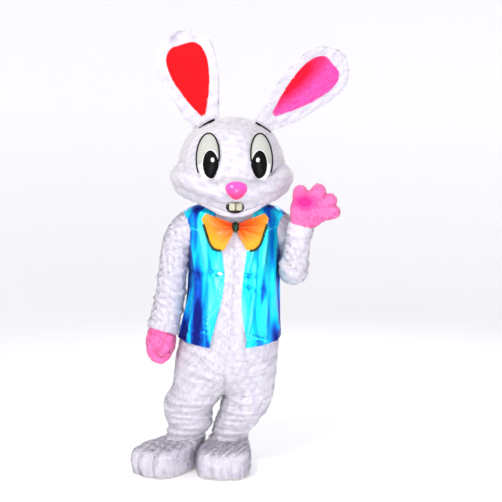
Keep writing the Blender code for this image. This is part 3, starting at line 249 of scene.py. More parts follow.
def dark_green_satin():
    """Dark green glossy satin with long streaks along its warp, the lighter ones painted sheen."""
    material, shader = start("dark green satin", {"Roughness": 0.34, "Specular IOR Level": 0.35})
    place = add(material, "TexCoord", {})
    warp = add(material, "Mapping", {"Scale": (120.0, 60.0, 30.0)}, [("Vector", place.outputs["Object"])])
    streaks = add(material, "TexNoise", {"Scale": 1.0, "Detail": 4.0}, [("Vector", warp.outputs["Vector"])])
    # Partly painted sheen: the lighter streaks stand in for glints on the satin.
    tint = add(material, "ValToRGB", {"stops": ((0.35, "#020A06"), (0.6, "#17482A"))},
               [("Fac", streaks.outputs["Fac"])])
    return cover(material, shader, tint)


orange_satin = bow_satin()
knot_satin = dark_green_satin()
print("bow:", orange_satin.name, "bound in", knot_satin.name)

# %% [markdown]
# The face is hard: moulded vinyl with a thin gloss. Vinyl has an IOR near 1.5 and a faint orange-peel surface, which is
# drawn with a low noise. The nose is lighter above and deeper below, so its tint follows its height.

# %% Moulded vinyl, felt and rubber
def moulded(name, dark, light, values, grain, depth):
    """A moulded or pressed surface: two close tints and a fine relief of a stated grain."""
    material, shader = start(name, values)
    place = add(material, "TexCoord", {})
    mottle = add(material, "TexNoise", {"Scale": grain, "Detail": 3.0}, [("Vector", place.outputs["Object"])])
    tint = add(material, "ValToRGB", {"stops": ((0.3, dark), (0.7, light))}, [("Fac", mottle.outputs["Fac"])])
    bump = add(material, "Bump", {"Strength": 0.3, "Distance": depth}, [("Height", mottle.outputs["Fac"])])
    return cover(material, shader, tint, bump)


def nose_finish():
    """Pink vinyl that deepens downwards."""
    material, shader = start("pink vinyl", {"Roughness": 0.3, "Coat Weight": 0.5, "Coat Roughness": 0.1})
    place = add(material, "TexCoord", {})
    axes = add(material, "SeparateXYZ", {}, [("Vector", place.outputs["Object"])])
    drop = add(material, "MapRange", {"From Min": 0.045, "From Max": 0.125}, [("Value", axes.outputs["Z"])])
    tint = add(material, "ValToRGB", {"stops": ((0.1, "#F8106C"), (0.9, "#FF56C6"))},
               [("Fac", drop.outputs["Result"])])
    return cover(material, shader, tint)


nose_vinyl = nose_finish()
eye_white = moulded("white vinyl", "#F2F2F2", "#FFFFFF", {"Roughness": 0.2, "Coat Weight": 0.6}, 300.0, 0.0002)
lid_felt = moulded("grey green felt", "#AEB1A9", "#C8CAC2", {"Roughness": 0.85}, 420.0, 0.0010)
black_vinyl = moulded("black vinyl", "#020203", "#060608", {"Roughness": 0.35, "Specular IOR Level": 0.1}, 300.0,
                      0.0002)
black_felt = moulded("black brow felt", "#030304", "#0C0C10", {"Roughness": 0.95, "Specular IOR Level": 0.1}, 420.0,
                     0.0010)
mouth_felt = moulded("dark mouth felt", "#12060A", "#2A0C14", {"Roughness": 0.8}, 400.0, 0.0010)
# Painted shade: the ivory teeth are darkened to greenish grey, as they look in the shade under the muzzle.
shaded_tooth_vinyl = moulded("ivory vinyl", "#A8A88E", "#CAC8AE", {"Roughness": 0.35, "Coat Weight": 0.3}, 260.0, 0.0002)
sole_rubber = moulded("pale crepe rubber", "#BDB8B2", "#DAD6D0", {"Roughness": 0.9}, 180.0, 0.0015)
tape_cotton = moulded("white cotton tape", "#D8D8DC", "#F0F0F2", {"Roughness": 0.8}, 700.0, 0.0006)
print("hard finishes:", [m.name for m in (nose_vinyl, eye_white, lid_felt, black_vinyl, shaded_tooth_vinyl, sole_rubber)])

# %% [markdown]
# A soft piece starts as a copy of its CAD solid. The copy's loose triangles are merged into one skin and turned back to
# quads, the rims of the cloth are creased so that seams stay shut, and a Subdivision Surface rounds the rest.

# %% Round a copy of a CAD solid
RIM_ANGLE = math.radians(52)


def place_object(name, data):
    """Put new data into the scene as an object."""
    thing = bpy.data.objects.new(name, data)
    bpy.context.scene.collection.objects.link(thing)
    return thing


def select_only(thing):
    """Deselect everything, then select one object and make it active."""
    bpy.ops.object.select_all(action="DESELECT")
    thing.select_set(True)
    bpy.context.view_layer.objects.active = thing


def soften(node, name, levels, rim_at=None):
    """Copy a CAD solid as one skin, crease its rims (where the height passes a test) and round it."""
    piece = place_object(name, nodes[node].data.copy())
    piece.data.name = name
    piece.data.materials.clear()
    select_only(piece)
    if piece.data.has_custom_normals:
        bpy.ops.mesh.customdata_custom_splitnormals_clear()
    bpy.ops.object.mode_set(mode="EDIT")
    bpy.ops.mesh.select_all(action="SELECT")
    bpy.ops.mesh.remove_doubles(threshold=1e-5)
    bpy.ops.mesh.tris_convert_to_quads(face_threshold=math.radians(40), shape_threshold=math.radians(60))
    bpy.ops.object.mode_set(mode="OBJECT")
    skin = bmesh.new()
    skin.from_mesh(piece.data)
    crease = skin.edges.layers.float.new("crease_edge")
    for edge in skin.edges:
        height = (edge.verts[0].co.z + edge.verts[1].co.z) / 2
        if len(edge.link_faces) == 2 and edge.calc_face_angle() > RIM_ANGLE and (rim_at is None or rim_at(height)):
            edge[crease] = 1.0
    skin.to_mesh(piece.data)
    skin.free()
    rounding = piece.modifiers.new("rounded", "SUBSURF")
    rounding.levels = rounding.render_levels = levels
    bpy.ops.object.modifier_apply(modifier=rounding.name)
    bpy.ops.object.shade_smooth_by_angle(angle=math.radians(50))
    return piece


def points_of(piece):
    """Every vertex of a piece as an array."""
    points = np.empty(len(piece.data.vertices) * 3)
    piece.data.vertices.foreach_get("co", points)
    return points.reshape(-1, 3)


def move_points(piece, points):
    """Give a piece's vertices new places."""
    piece.data.vertices.foreach_set("co", points.ravel())
    piece.data.update()


def settle(piece, material, node):
    """Give a finished piece its material, and let it stand for its CAD node."""
    piece.data.materials.append(material)
    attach(piece, "root")
    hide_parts(node)
    print(f"{piece.name}: {len(piece.data.polygons)} faces")
    return piece


def dress(node, name, levels, material, rim_at=None):
    """Round a solid that takes no folds, and settle it."""
    return settle(soften(node, name, levels, rim_at), material, node)


def fade(values, begin, over):
    """0 up to a value, then rising to 1 over a stated length."""
    return np.clip((values - begin) / over, 0, 1)


print("a CAD copy is rounded; rims sharper than", round(math.degrees(RIM_ANGLE)), "degrees stay crisp")

# %% [markdown]
# Folds are listed one by one, as on the worn costume. Each line of a table is one fold on the form: the angle round the
# body (0 at the front, 90 at the wearer's left) and the height z at one end, the same at the other end, how far it
# stands out (or in, below zero) and its half breadth. A fold fades out at its ends and has a shallow trough beside it.

# %% Press folds into cloth
TROUGH = 0.45      # how deep the trough beside a fold is
FOLD_END = 0.35    # what is left of a fold at its ends


def beside(points, path):
    """Angle in degrees round an upright path, radius, and outward direction of each point."""
    path = np.asarray(path)[::-1]
    away = np.zeros_like(points)
    away[:, 0] = points[:, 0] - np.interp(points[:, 2], path[:, 2], path[:, 0])
    away[:, 1] = points[:, 1] - np.interp(points[:, 2], path[:, 2], path[:, 1])
    radius = np.maximum(np.linalg.norm(away, axis=1), 1e-6)
    return np.degrees(np.arctan2(away[:, 0], -away[:, 1])), radius, away / radius[:, None]


def press_folds(piece, path, folds, room=None):
    """Move the cloth out and in along the folds of a table."""
    points = points_of(piece)
    angle, radius, outward = beside(points, path)
    total = np.zeros(len(points))
    for angle0, z0, angle1, z1, height, breadth in folds:
        across = np.radians((angle - angle0 + 180) % 360 - 180) * radius
        run = np.radians(angle1 - angle0) * radius
        rise = z1 - z0
        length2 = np.maximum(run ** 2 + rise ** 2, 1e-8)
        part = np.clip((across * run + (points[:, 2] - z0) * rise) / length2, 0, 1)
        off = np.hypot(across - part * run, points[:, 2] - z0 - part * rise) / breadth
        swell = FOLD_END + (1 - FOLD_END) * np.sin(np.pi * part)
        total += height * (1 - TROUGH * off ** 2) * np.exp(-off ** 2) * swell
    if room is not None:
        total *= room(points)
    move_points(piece, points + outward * total[:, None])
    return total


# x, y, z
TORSO_PATH = (
    (0.0, 0.0, 0.08), (0.0, 0.0, -0.4), (-0.016, 0.0, -0.59), (-0.034, 0.0, -0.71), (-0.043, 0.0, -0.78))
LEFT_LEG = (
    (0.08, 0.0, -0.85), (0.072, 0.0, -0.915), (0.054, 0.0, -0.972), (0.034, 0.002, -1.02), (0.006, 0.005, -1.065),
    (-0.014, 0.008, -1.104), (-0.026, 0.01, -1.14))
RIGHT_LEG = (
    (-0.18, 0.0, -0.85), (-0.19, 0.0, -0.915), (-0.2255, 0.0, -0.972), (-0.228, 0.002, -1.02), (-0.219, 0.005, -1.065),
    (-0.236, 0.008, -1.104), (-0.243, 0.01, -1.14))

# %% [markdown]
# The suit is plush in four panels, each from the neck to the ankle. Loose plush stacks over the feet in rings of uneven
# length, and long soft folds run from the crotch up under the waistcoat. The back has folds of its own.

# %% Suit folds and panels
# angle, z, angle, z, height, half breadth
HIP_FOLDS = (
    (7, -0.845, 62, -0.8, -0.005, 0.007), (-7, -0.845, -64, -0.812, -0.005, 0.007),
    (20, -0.745, 78, -0.735, -0.003, 0.009), (-24, -0.738, -84, -0.76, -0.003, 0.009),
    (8, -0.8, 52, -0.68, 0.006, 0.02), (6, -0.83, 66, -0.76, 0.006, 0.018), (-8, -0.8, -50, -0.67, 0.006, 0.02),
    (-6, -0.83, -70, -0.75, 0.006, 0.018), (172, -0.8, 130, -0.7, 0.005, 0.022),
    (-172, -0.8, -128, -0.69, 0.005, 0.022))
LEFT_LEG_FOLDS = (
    (-62, -0.968, 84, -0.94, -0.0055, 0.006), (-40, -1.036, 86, -1.024, -0.0055, 0.005),
    (-80, -1.082, 40, -1.072, -0.004, 0.005), (150, -0.975, 250, -0.99, -0.005, 0.006),
    (-80, -0.905, 10, -0.945, 0.007, 0.012), (0, -0.955, 88, -0.925, 0.006, 0.011),
    (-70, -0.985, 62, -0.998, 0.007, 0.01), (-30, -1.022, 96, -1.01, 0.005, 0.009),
    (-95, -1.04, 30, -1.052, 0.006, 0.01), (-10, -1.072, 90, -1.06, 0.006, 0.009),
    (-80, -1.092, 58, -1.1, 0.005, 0.008), (-60, -0.93, -15, -0.875, -0.005, 0.016),
    (120, -0.93, 210, -0.955, 0.006, 0.012), (105, -0.99, 235, -1.005, 0.006, 0.011),
    (130, -1.045, 250, -1.035, 0.006, 0.01), (100, -1.085, 220, -1.096, 0.005, 0.009))
RIGHT_LEG_FOLDS = (
    (-86, -0.952, 60, -0.968, -0.0055, 0.006), (-70, -1.024, 78, -1.012, -0.0055, 0.005),
    (-50, -1.08, 84, -1.066, -0.004, 0.005), (140, -0.965, 240, -0.98, -0.005, 0.006),
    (-92, -0.89, 20, -0.912, 0.007, 0.013), (-60, -0.935, 75, -0.95, 0.007, 0.012),
    (-85, -0.985, 35, -0.975, 0.006, 0.01), (-40, -1.008, 90, -1.026, 0.006, 0.01),
    (-95, -1.046, 25, -1.038, 0.006, 0.009), (-25, -1.066, 92, -1.08, 0.006, 0.009),
    (-85, -1.094, 20, -1.1, 0.005, 0.008), (15, -0.925, 60, -0.87, -0.005, 0.016),
    (110, -0.935, 215, -0.92, 0.006, 0.012), (125, -0.985, 240, -1.0, 0.006, 0.011),
    (100, -1.04, 225, -1.052, 0.006, 0.01), (130, -1.09, 245, -1.082, 0.005, 0.009))


HIP_DEPTH, WAIST, SEAM_X = 1.9, -0.60, -0.043
LEG_DEPTH, CROTCH, LEG_HEM = 1.7, -0.865, -1.127


def below_waist(points):
    """Folds of the hips keep clear of the waistcoat and the centre seam."""
    return HIP_DEPTH * fade(-points[:, 2], -WAIST, 0.04) * fade(np.abs(points[:, 0] - SEAM_X), 0, 0.03)


def down_the_leg(points):
    """Folds of the leg start under the crotch and stop at the hem."""
    return LEG_DEPTH * fade(-points[:, 2], -CROTCH, 0.03) * fade(points[:, 2], LEG_HEM, 0.012)


suit = []
for side, leg, leg_folds in (("left", LEFT_LEG, LEFT_LEG_FOLDS), ("right", RIGHT_LEG, RIGHT_LEG_FOLDS)):
    for half in ("front", "back"):
        panel = soften(f"suit_{half}_{side}", f"plush_suit_{half}_{side}", 2)
        press_folds(panel, TORSO_PATH, HIP_FOLDS, below_waist)
        press_folds(panel, leg, leg_folds, down_the_leg)
        settle(panel, white_backing, f"suit_{half}_{side}")
        suit.append(panel)

# %% [markdown]
# The sleeves follow bent arms, so their folds are rings round the arm's path. Each line gives the place along the path,
# the direction that the fold faces, its height, its half breadth, and how far it slopes across the arm. The hanging
# sleeve is upright enough to take long folds from a table like the suit's too.

# %% Sleeves and cuffs
# x, y, z
RIGHT_ARM = (
    (-0.15, 0.005, -0.098), (-0.225, 0.005, -0.105), (-0.266, 0.001, -0.155), (-0.288, -0.004, -0.22),
    (-0.298, -0.009, -0.285), (-0.306, -0.015, -0.37), (-0.314, -0.022, -0.44), (-0.328, -0.03, -0.505),
    (-0.338, -0.036, -0.558), (-0.349, -0.043, -0.598))
LEFT_ARM = (
    (0.15, 0.005, -0.098), (0.225, 0.008, -0.105), (0.266, 0.016, -0.155), (0.291, 0.012, -0.225),
    (0.295, -0.018, -0.285), (0.282, -0.066, -0.308), (0.287, -0.112, -0.285), (0.298, -0.143, -0.21),
    (0.308, -0.158, -0.125), (0.32, -0.163, -0.08))
# place, facing, height, half breadth, slope
RIGHT_ARM_FOLDS = (
    (0.12, (1, -1, 0), 0.006, 0.012, 0.02), (0.17, (1, -1, 0), -0.004, 0.014, 0.02),
    (0.23, (1, -0.6, 0), 0.005, 0.012, -0.02), (0.3, (0.6, -1, 0), 0.005, 0.012, 0.03),
    (0.34, (-1, -0.4, 0), 0.004, 0.014, -0.02), (0.41, (0.5, -1, 0), 0.006, 0.011, 0.02),
    (0.45, (-0.8, -1, 0), 0.006, 0.01, -0.02), (0.475, (1, 0.4, 0), 0.005, 0.01, 0.02),
    (0.27, (0, 1, 0), 0.006, 0.016, 0.02), (0.42, (0, 1, 0), 0.006, 0.013, -0.02))
LEFT_ARM_FOLDS = (
    (0.1, (0.5, -1, 0), 0.006, 0.012, 0.02), (0.15, (1, -0.6, 0), -0.004, 0.012, 0.02),
    (0.21, (-0.5, -1, 0.6), 0.007, 0.011, 0.02), (0.25, (-0.6, -0.4, 1), 0.008, 0.01, -0.02),
    (0.28, (0.8, -0.4, 0.8), 0.006, 0.01, 0.02), (0.33, (0.4, -0.5, 0.8), 0.006, 0.01, -0.01),
    (0.36, (1, -0.3, 0.1), 0.005, 0.01, 0.02), (0.3, (0.3, 0.6, -1), 0.005, 0.014, 0.0),
    (0.4, (-1, -0.6, 0), 0.005, 0.01, 0.02), (0.425, (-0.5, -1, 0), -0.006, 0.006, 0.03),
    (0.465, (0.1, -1, 0), -0.005, 0.006, -0.03), (0.505, (-0.5, -1, 0), -0.004, 0.006, 0.02))
# angle, z, angle, z, height, half breadth
HANGING_FOLDS = (
    (-62, -0.14, -22, -0.34, 0.006, 0.01), (-22, -0.18, 8, -0.4, 0.006, 0.01), (30, -0.2, 55, -0.42, 0.005, 0.01),
    (-52, -0.36, -12, -0.53, 0.006, 0.01), (8, -0.4, 42, -0.54, 0.005, 0.01), (150, -0.16, 190, -0.4, 0.006, 0.012))


RING_DEPTH, ARMHOLE = 2.2, 0.09


def along(points, path):
    """Length along a bent path and outward direction of each point, from the nearest part of the path."""
    path = np.asarray(path, dtype=float)
    best = np.full(len(points), 1e9)
    place = np.zeros(len(points))
    centre = np.zeros_like(points)
    run = 0.0
    for a, b in zip(path, path[1:]):
        step = b - a
        length = np.linalg.norm(step)
        part = np.clip((points - a) @ step / length ** 2, 0, 1)
        nearest = a + part[:, None] * step
        gap = np.linalg.norm(points - nearest, axis=1)
        closer = gap < best
        best[closer] = gap[closer]
        place[closer] = run + part[closer] * length
        centre[closer] = nearest[closer]
        run += length
    away = points - centre
    return place, away / np.maximum(np.linalg.norm(away, axis=1), 1e-6)[:, None]


def press_rings(piece, path, folds, first=0.0, last=9.0):
    """Move the cloth of a sleeve out and in along folds that go part of the way round."""
    points = points_of(piece)
    place, outward = along(points, path)
    total = np.zeros(len(points))
    for at, facing, height, breadth, slope in folds:
        facing = np.array(facing, dtype=float) / np.linalg.norm(facing)
        side = np.cross(facing, (0, 0, 1.0))
        off = (place - at - slope * (outward @ side)) / breadth
        round_it = np.clip(outward @ facing * 0.75 + 0.35, 0, 1) ** 1.5
        total += height * (1 - TROUGH * off ** 2) * np.exp(-off ** 2) * round_it
    total *= RING_DEPTH * fade(place, first, 0.02) * fade(-place, -last, 0.012)
    move_points(piece, points + outward * total[:, None])


def down_the_sleeve(points):
    """Folds of the hanging sleeve start under the shoulder and stop at the cuff."""
    return fade(-points[:, 2], 0.13, 0.03) * fade(points[:, 2], -0.55, 0.015)


sleeves = []
for side, arm, arm_folds in (("left", LEFT_ARM, LEFT_ARM_FOLDS), ("right", RIGHT_ARM, RIGHT_ARM_FOLDS)):
    length = sum(math.dist(a, b) for a, b in zip(arm, arm[1:-1]))
    sleeve = soften(f"sleeve_{side}", f"plush_sleeve_{side}", 2)
    press_rings(sleeve, arm, arm_folds, ARMHOLE, length)
    if side == "right":
        press_folds(sleeve, RIGHT_ARM, HANGING_FOLDS, down_the_sleeve)
    settle(sleeve, white_backing, f"sleeve_{side}")
    cuff = dress(f"cuff_{side}", f"plush_cuff_{side}", 2, white_backing)
    sleeves += [sleeve, cuff]

# %% [markdown]
# The waistcoat hangs open. Its satin drops from the shoulders in long folds that drift towards the front edges, and
# small wrinkles gather over the hems. The same tables shape the two fronts and the back, so their side seams agree.
# The satin also stores painted light: painted highlight on the crests of folds and near the front edges, and painted
# shade at the sides, under the arms and low on the wearer's right.

# %% Waistcoat
# angle, z, angle, z, height, half breadth
VEST_FOLDS = (
    (-58, -0.02, -38, -0.34, 0.007, 0.016), (-46, -0.06, -26, -0.4, 0.006, 0.014),
    (-66, -0.16, -50, -0.52, 0.006, 0.016), (-38, -0.3, -30, -0.62, 0.007, 0.015),
    (-55, -0.36, -58, -0.66, 0.008, 0.017), (-72, -0.4, -78, -0.66, 0.007, 0.016),
    (-84, -0.14, -86, -0.5, 0.005, 0.016), (-44, -0.292, -14, -0.318, -0.005, 0.012),
    (-30, -0.55, -24, -0.67, 0.006, 0.01), (-22, -0.44, -34, -0.56, 0.004, 0.012),
    (-64, -0.58, -40, -0.63, -0.003, 0.01), (56, -0.02, 44, -0.36, 0.007, 0.016), (44, -0.05, 24, -0.3, 0.006, 0.014),
    (68, -0.15, 60, -0.5, 0.006, 0.017), (36, -0.26, 26, -0.56, 0.006, 0.014), (50, -0.4, 46, -0.66, 0.008, 0.017),
    (66, -0.44, 70, -0.66, 0.007, 0.015), (30, -0.5, 22, -0.67, 0.006, 0.011), (84, -0.2, 82, -0.54, 0.005, 0.016),
    (26, -0.6, 56, -0.64, 0.004, 0.009), (18, -0.36, 40, -0.4, -0.004, 0.012), (60, -0.56, 84, -0.6, 0.004, 0.012),
    (150, -0.04, 160, -0.46, 0.006, 0.02), (176, -0.02, 172, -0.4, 0.005, 0.018),
    (-156, -0.05, -164, -0.44, 0.006, 0.02), (128, -0.18, 140, -0.6, 0.006, 0.02),
    (-130, -0.16, -142, -0.58, 0.006, 0.02), (166, -0.34, 158, -0.64, 0.007, 0.018),
    (-174, -0.3, -170, -0.65, 0.007, 0.018), (-150, -0.42, -146, -0.65, 0.007, 0.017),
    (112, -0.36, 118, -0.64, 0.006, 0.018), (-110, -0.34, -116, -0.65, 0.006, 0.018),
    (-140, -0.3, 140, -0.33, -0.003, 0.016))


def ripple(piece, path, size, waves, seed):
    """Fine uneven ripples that run down the cloth and stand outwards."""
    rng = np.random.default_rng(seed)
    points = points_of(piece)
    angle, radius, outward = beside(points, path)
    total = np.zeros(len(points))
    for k in range(waves):
        turns = rng.integers(14, 46)
        lean = rng.uniform(-9, 9)
        shift = rng.uniform(0, math.tau)
        swell = 0.5 + 0.5 * np.sin(points[:, 2] * rng.uniform(6, 22) + rng.uniform(0, math.tau))
        total += np.sin(np.radians(angle) * turns + points[:, 2] * lean + shift) * swell
    total = size * (total / waves + 0.35)
    move_points(piece, points + outward * total[:, None])


VEST_WRINKLES = (
    (-16, -0.372, -24, -0.366, 0.0045, 0.0045), (-15, -0.392, -26, -0.384, 0.005, 0.0045),
    (-17, -0.412, -25, -0.405, 0.0045, 0.0045), (-20, -0.436, -27, -0.43, 0.004, 0.0045),
    (-27, -0.528, -38, -0.52, 0.005, 0.005), (-28, -0.55, -40, -0.541, 0.0055, 0.005),
    (-30, -0.573, -39, -0.566, 0.005, 0.005), (-31, -0.596, -42, -0.59, 0.0045, 0.005),
    (24, -0.636, 27, -0.612, 0.0045, 0.005), (30, -0.634, 33, -0.608, 0.005, 0.005),
    (37, -0.632, 39, -0.612, 0.0045, 0.005), (20, -0.3, 30, -0.306, 0.004, 0.0045),
    (-70, -0.09, -52, -0.11, 0.004, 0.006), (64, -0.09, 48, -0.112, 0.004, 0.006),
    (176, -0.612, 168, -0.606, 0.0045, 0.006), (-150, -0.606, -158, -0.6, 0.0045, 0.006),
    (140, -0.6, 148, -0.594, 0.0045, 0.006))
DEEPER, CREST, RIPPLE = 1.7, 0.012, 0.0024
vest = []
for part, levels in (("front_left", 4), ("front_right", 4), ("back", 3)):
    panel = soften(f"vest_{part}", f"satin_vest_{part}", levels)
    risen = press_folds(panel, TORSO_PATH, VEST_FOLDS + VEST_WRINKLES, lambda points: np.full(len(points), DEEPER))
    ground = points_of(panel)
    turned = beside(ground, TORSO_PATH)[0]
    # Painted light round the body: painted highlight near the front edges, painted shade at the sides and under the
    # arms.
    round_painted_light = np.interp(np.abs(turned), (15, 38, 70, 100, 140, 180), (0.75, 0.45, -0.75, -0.9, 0.1, 0.5))
    # Painted shade low on the waistcoat, most on the wearer's right.
    low_painted_shade = np.interp(ground[:, 2], (-0.64, -0.54, -0.44), (-1.0, -0.45, 0.0)) * np.where(turned < 0, 1.0, 0.35)
    # The crest attribute holds painted highlight on fold crests plus the painted light and shade above.
    crest = panel.data.attributes.new("crest", "FLOAT", "POINT")
    crest.data.foreach_set("value", risen / CREST + round_painted_light + low_painted_shade)
    ripple(panel, TORSO_PATH, RIPPLE, 7, 5)
    settle(panel, blue_satin, f"vest_{part}")
    vest.append(panel)

# %% [markdown]
# The head is a hollow fur skull. The muzzle is one stuffed band that runs from cheek to cheek, the chin is a small pad
# below the mouth, and the ears are stuffed, with short coloured plush laid in their dished fronts.

# %% Head, muzzle, chin and ears
EAR_BASE = 0.46
head = dress("head_shell", "plush_head", 2, white_backing)
muzzle = dress("muzzle", "plush_muzzle", 2, white_backing)
chin = dress("chin", "plush_chin", 2, white_backing)
ears = []
linings = []
# The wearer's right ear lining is the red plush of painted shade; the left one has painted shade along its top.
for side, lining_plush, slot in (("left", rose_backing, "ear_plush_pink"), ("right", red_shaded_lining_backing, "ear_plush_red")):
    ears.append(dress(f"ear_{side}", f"plush_ear_{side}", 2, white_backing, lambda z: z < EAR_BASE))
    linings.append(dress(f"ear_lining_{side}", f"plush_ear_lining_{side}", 3, lining_plush))

# %% [markdown]
# The gloves are pink plush with three fingers and a thumb, and the feet are stuffed plush with seams pulled in between
# the toes. Both are copies of their solids, because the solids already have each finger and toe. Only their hems keep
# crisp rims; fingers and toes are round.

# %% Gloves and feet
# x, y, z
LEFT_HAND = (
    (0.3095, -0.1585, -0.1175), (0.328, -0.165, -0.058), (0.34, -0.168, -0.034), (0.358, -0.171, -0.002),
    (0.374, -0.172, 0.028))
RIGHT_HAND = (
    (-0.34, -0.037, -0.5635), (-0.35, -0.044, -0.602), (-0.356, -0.052, -0.645), (-0.358, -0.056, -0.678))
# place, facing, height, half breadth, slope
LEFT_HAND_FOLDS = (
    (0.06, (-0.6, -1, 0), -0.0026, 0.008, 0.012), (0.088, (0.2, -1, 0), -0.003, 0.007, -0.014),
    (0.112, (-0.3, -1, 0), -0.0024, 0.007, 0.01), (0.1, (0, 1, 0), -0.0026, 0.009, 0.0))
RIGHT_HAND_FOLDS = (
    (0.055, (-0.5, -1, 0), -0.0024, 0.007, 0.01), (0.075, (0.6, -1, 0), -0.002, 0.007, -0.01),
    (0.065, (0, 1, 0), -0.0024, 0.009, 0.0))
WRISTS = {"left": lambda z: z < -0.08, "right": lambda z: z > -0.60}
SHOE_HEM, SOLE_TOP, KNUCKLES = -1.14, -1.255, 0.035
gloves = []
shoes = []
for side, hand, hand_folds in (("left", LEFT_HAND, LEFT_HAND_FOLDS), ("right", RIGHT_HAND, RIGHT_HAND_FOLDS)):
    glove = soften(f"glove_{side}", f"plush_glove_{side}", 2, WRISTS[side])
    press_rings(glove, hand, hand_folds, KNUCKLES)
    settle(glove, pink_backing, f"glove_{side}")
    gloves.append(glove)
    shoes.append(dress(f"shoe_{side}", f"plush_shoe_{side}", 2, white_backing,
                       lambda z: z > SHOE_HEM or z < SOLE_TOP))

# %% [markdown]
# The bow tie is two satin cushions that are gathered into a small dark knot. The gathers fan out from the knot and fade
# towards the ends, so they are made by moving the front of each wing along an angle about the knot.

# %% Bow tie
WING_FRONT = 0.1585
bows = []
for side, gathers, deep in (("left", 6.2, 2.0), ("right", 5.1, 1.1)):
    wing = soften(f"bow_wing_{side}", f"satin_bow_wing_{side}", 3)
    points = points_of(wing)
    off = points - KNOT
    turn = np.arctan2(off[:, 2], np.abs(off[:, 0]))
    reach = np.hypot(off[:, 0], off[:, 2])
    front = fade(-points[:, 1], WING_FRONT, 0.012)
    wave = np.sin(turn * gathers * 2 + 0.8) * 0.0035 + np.sin(turn * gathers * 3.3 + 2.0) * 0.0015
    points[:, 1] -= wave * deep * front * np.clip(1.25 - reach / 0.16, 0.2, 1)
    move_points(wing, points)
    settle(wing, orange_satin, f"bow_wing_{side}")
    bows.append(wing)
knot = dress("bow_knot", "satin_bow_knot", 2, knot_satin)

# %% [markdown]
# A dark green binding closes the bow's outer and lower edges; it is partly painted shade, standing in for the shade
# along those edges. Its line is found by walking out from the knot along rays that point into the wing: the last ray
# that still meets cloth gives the edge. The line becomes a curve with a round section.

# %% Binding of the bow, partly painted shade
def bvh_of(piece):
    """A search tree of a piece's faces."""
    return BVHTree.FromPolygons([tuple(p) for p in points_of(piece)], [tuple(f.vertices) for f in piece.data.polygons])


def tube_along(name, line, radius, material):
    """A round open tube along a line of points, as a mesh."""
    curve = bpy.data.curves.new(name, "CURVE")
    curve.dimensions = "3D"
    curve.bevel_depth = radius
    curve.bevel_resolution = 2
    curve.use_fill_caps = True
    spline = curve.splines.new("POLY")
    spline.points.add(len(line) - 1)
    for point, spot in zip(spline.points, line):
        point.co = (*spot, 1)
    tube = place_object(name, curve)
    select_only(tube)
    bpy.ops.object.convert(target="MESH")
    tube.data.materials.clear()
    tube.data.materials.append(material)
    bpy.ops.object.shade_smooth()
    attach(tube, "root")
    print(f"{name}: {len(tube.data.polygons)} faces")
    return tube


# Partly painted shade: the dark binding also stands in for the shade along the bow's lower and outer edges.
SHADE_BINDING = 0.0066
for wing, side, sign in zip(bows, ("left", "right"), (1, -1)):
    tree = bvh_of(wing)
    edge = []
    for degrees in np.arange(5, -60, -3.0):
        turn = math.radians(degrees)
        for reach in np.arange(0.21, 0.05, -0.001):
            spot = Vector((KNOT[0] + sign * reach * math.cos(turn), -0.4, KNOT[2] + reach * math.sin(turn)))
            hit = tree.ray_cast(spot, Vector((0, 1, 0)))[0]
            if hit is not None:
                edge.append((hit.x, hit.y - 0.001, hit.z))
                break
    tube_along(f"bow_binding_{side}", edge, SHADE_BINDING, knot_satin)

# %% [markdown]
# Eyes, lids, pupils, nose and teeth are moulded, so they only need rounding. A thin black bead closes the joint between
# each eye and the fur. Its line is where the dome meets the head, found by walking out along rays on the head, and it
# is brought forward on the dome where the head falls away, so that the eye has a dark rim from every side.
# It stops where the cheek covers the eye. The mouth is cut level at the top, under the muzzle.

# %% Face
MOUTH_TOP = 0.019
hard_face = {}
for part, levels, material, slot in (("eye", 2, eye_white, "eye_white"), ("eyelid", 2, lid_felt, "eyelid_grey"),
                                     ("pupil", 2, black_vinyl, "black_vinyl"), ("nose", 2, nose_vinyl, "nose_vinyl"),
                                     ("mouth", 1, mouth_felt, "black_vinyl"), ("tooth", 1, shaded_tooth_vinyl, "tooth_white")):
    for node in (part,) if part in ("nose", "mouth") else (f"{part}_left", f"{part}_right"):
        hard_face[node] = dress(node, f"moulded_{node}", levels, material)
mouth_points = points_of(hard_face["mouth"])
mouth_points[:, 2] = np.minimum(mouth_points[:, 2], MOUTH_TOP)
move_points(hard_face["mouth"], mouth_points)
for node, material in (("glint_left", eye_white), ("glint_right", eye_white), ("brow_left", black_felt),
                       ("brow_right", black_felt), ("suit_zip", tape_cotton), ("sole_left", sole_rubber),
                       ("sole_right", sole_rubber)):
    nodes[node].data.materials.clear()
    nodes[node].data.materials.append(material)

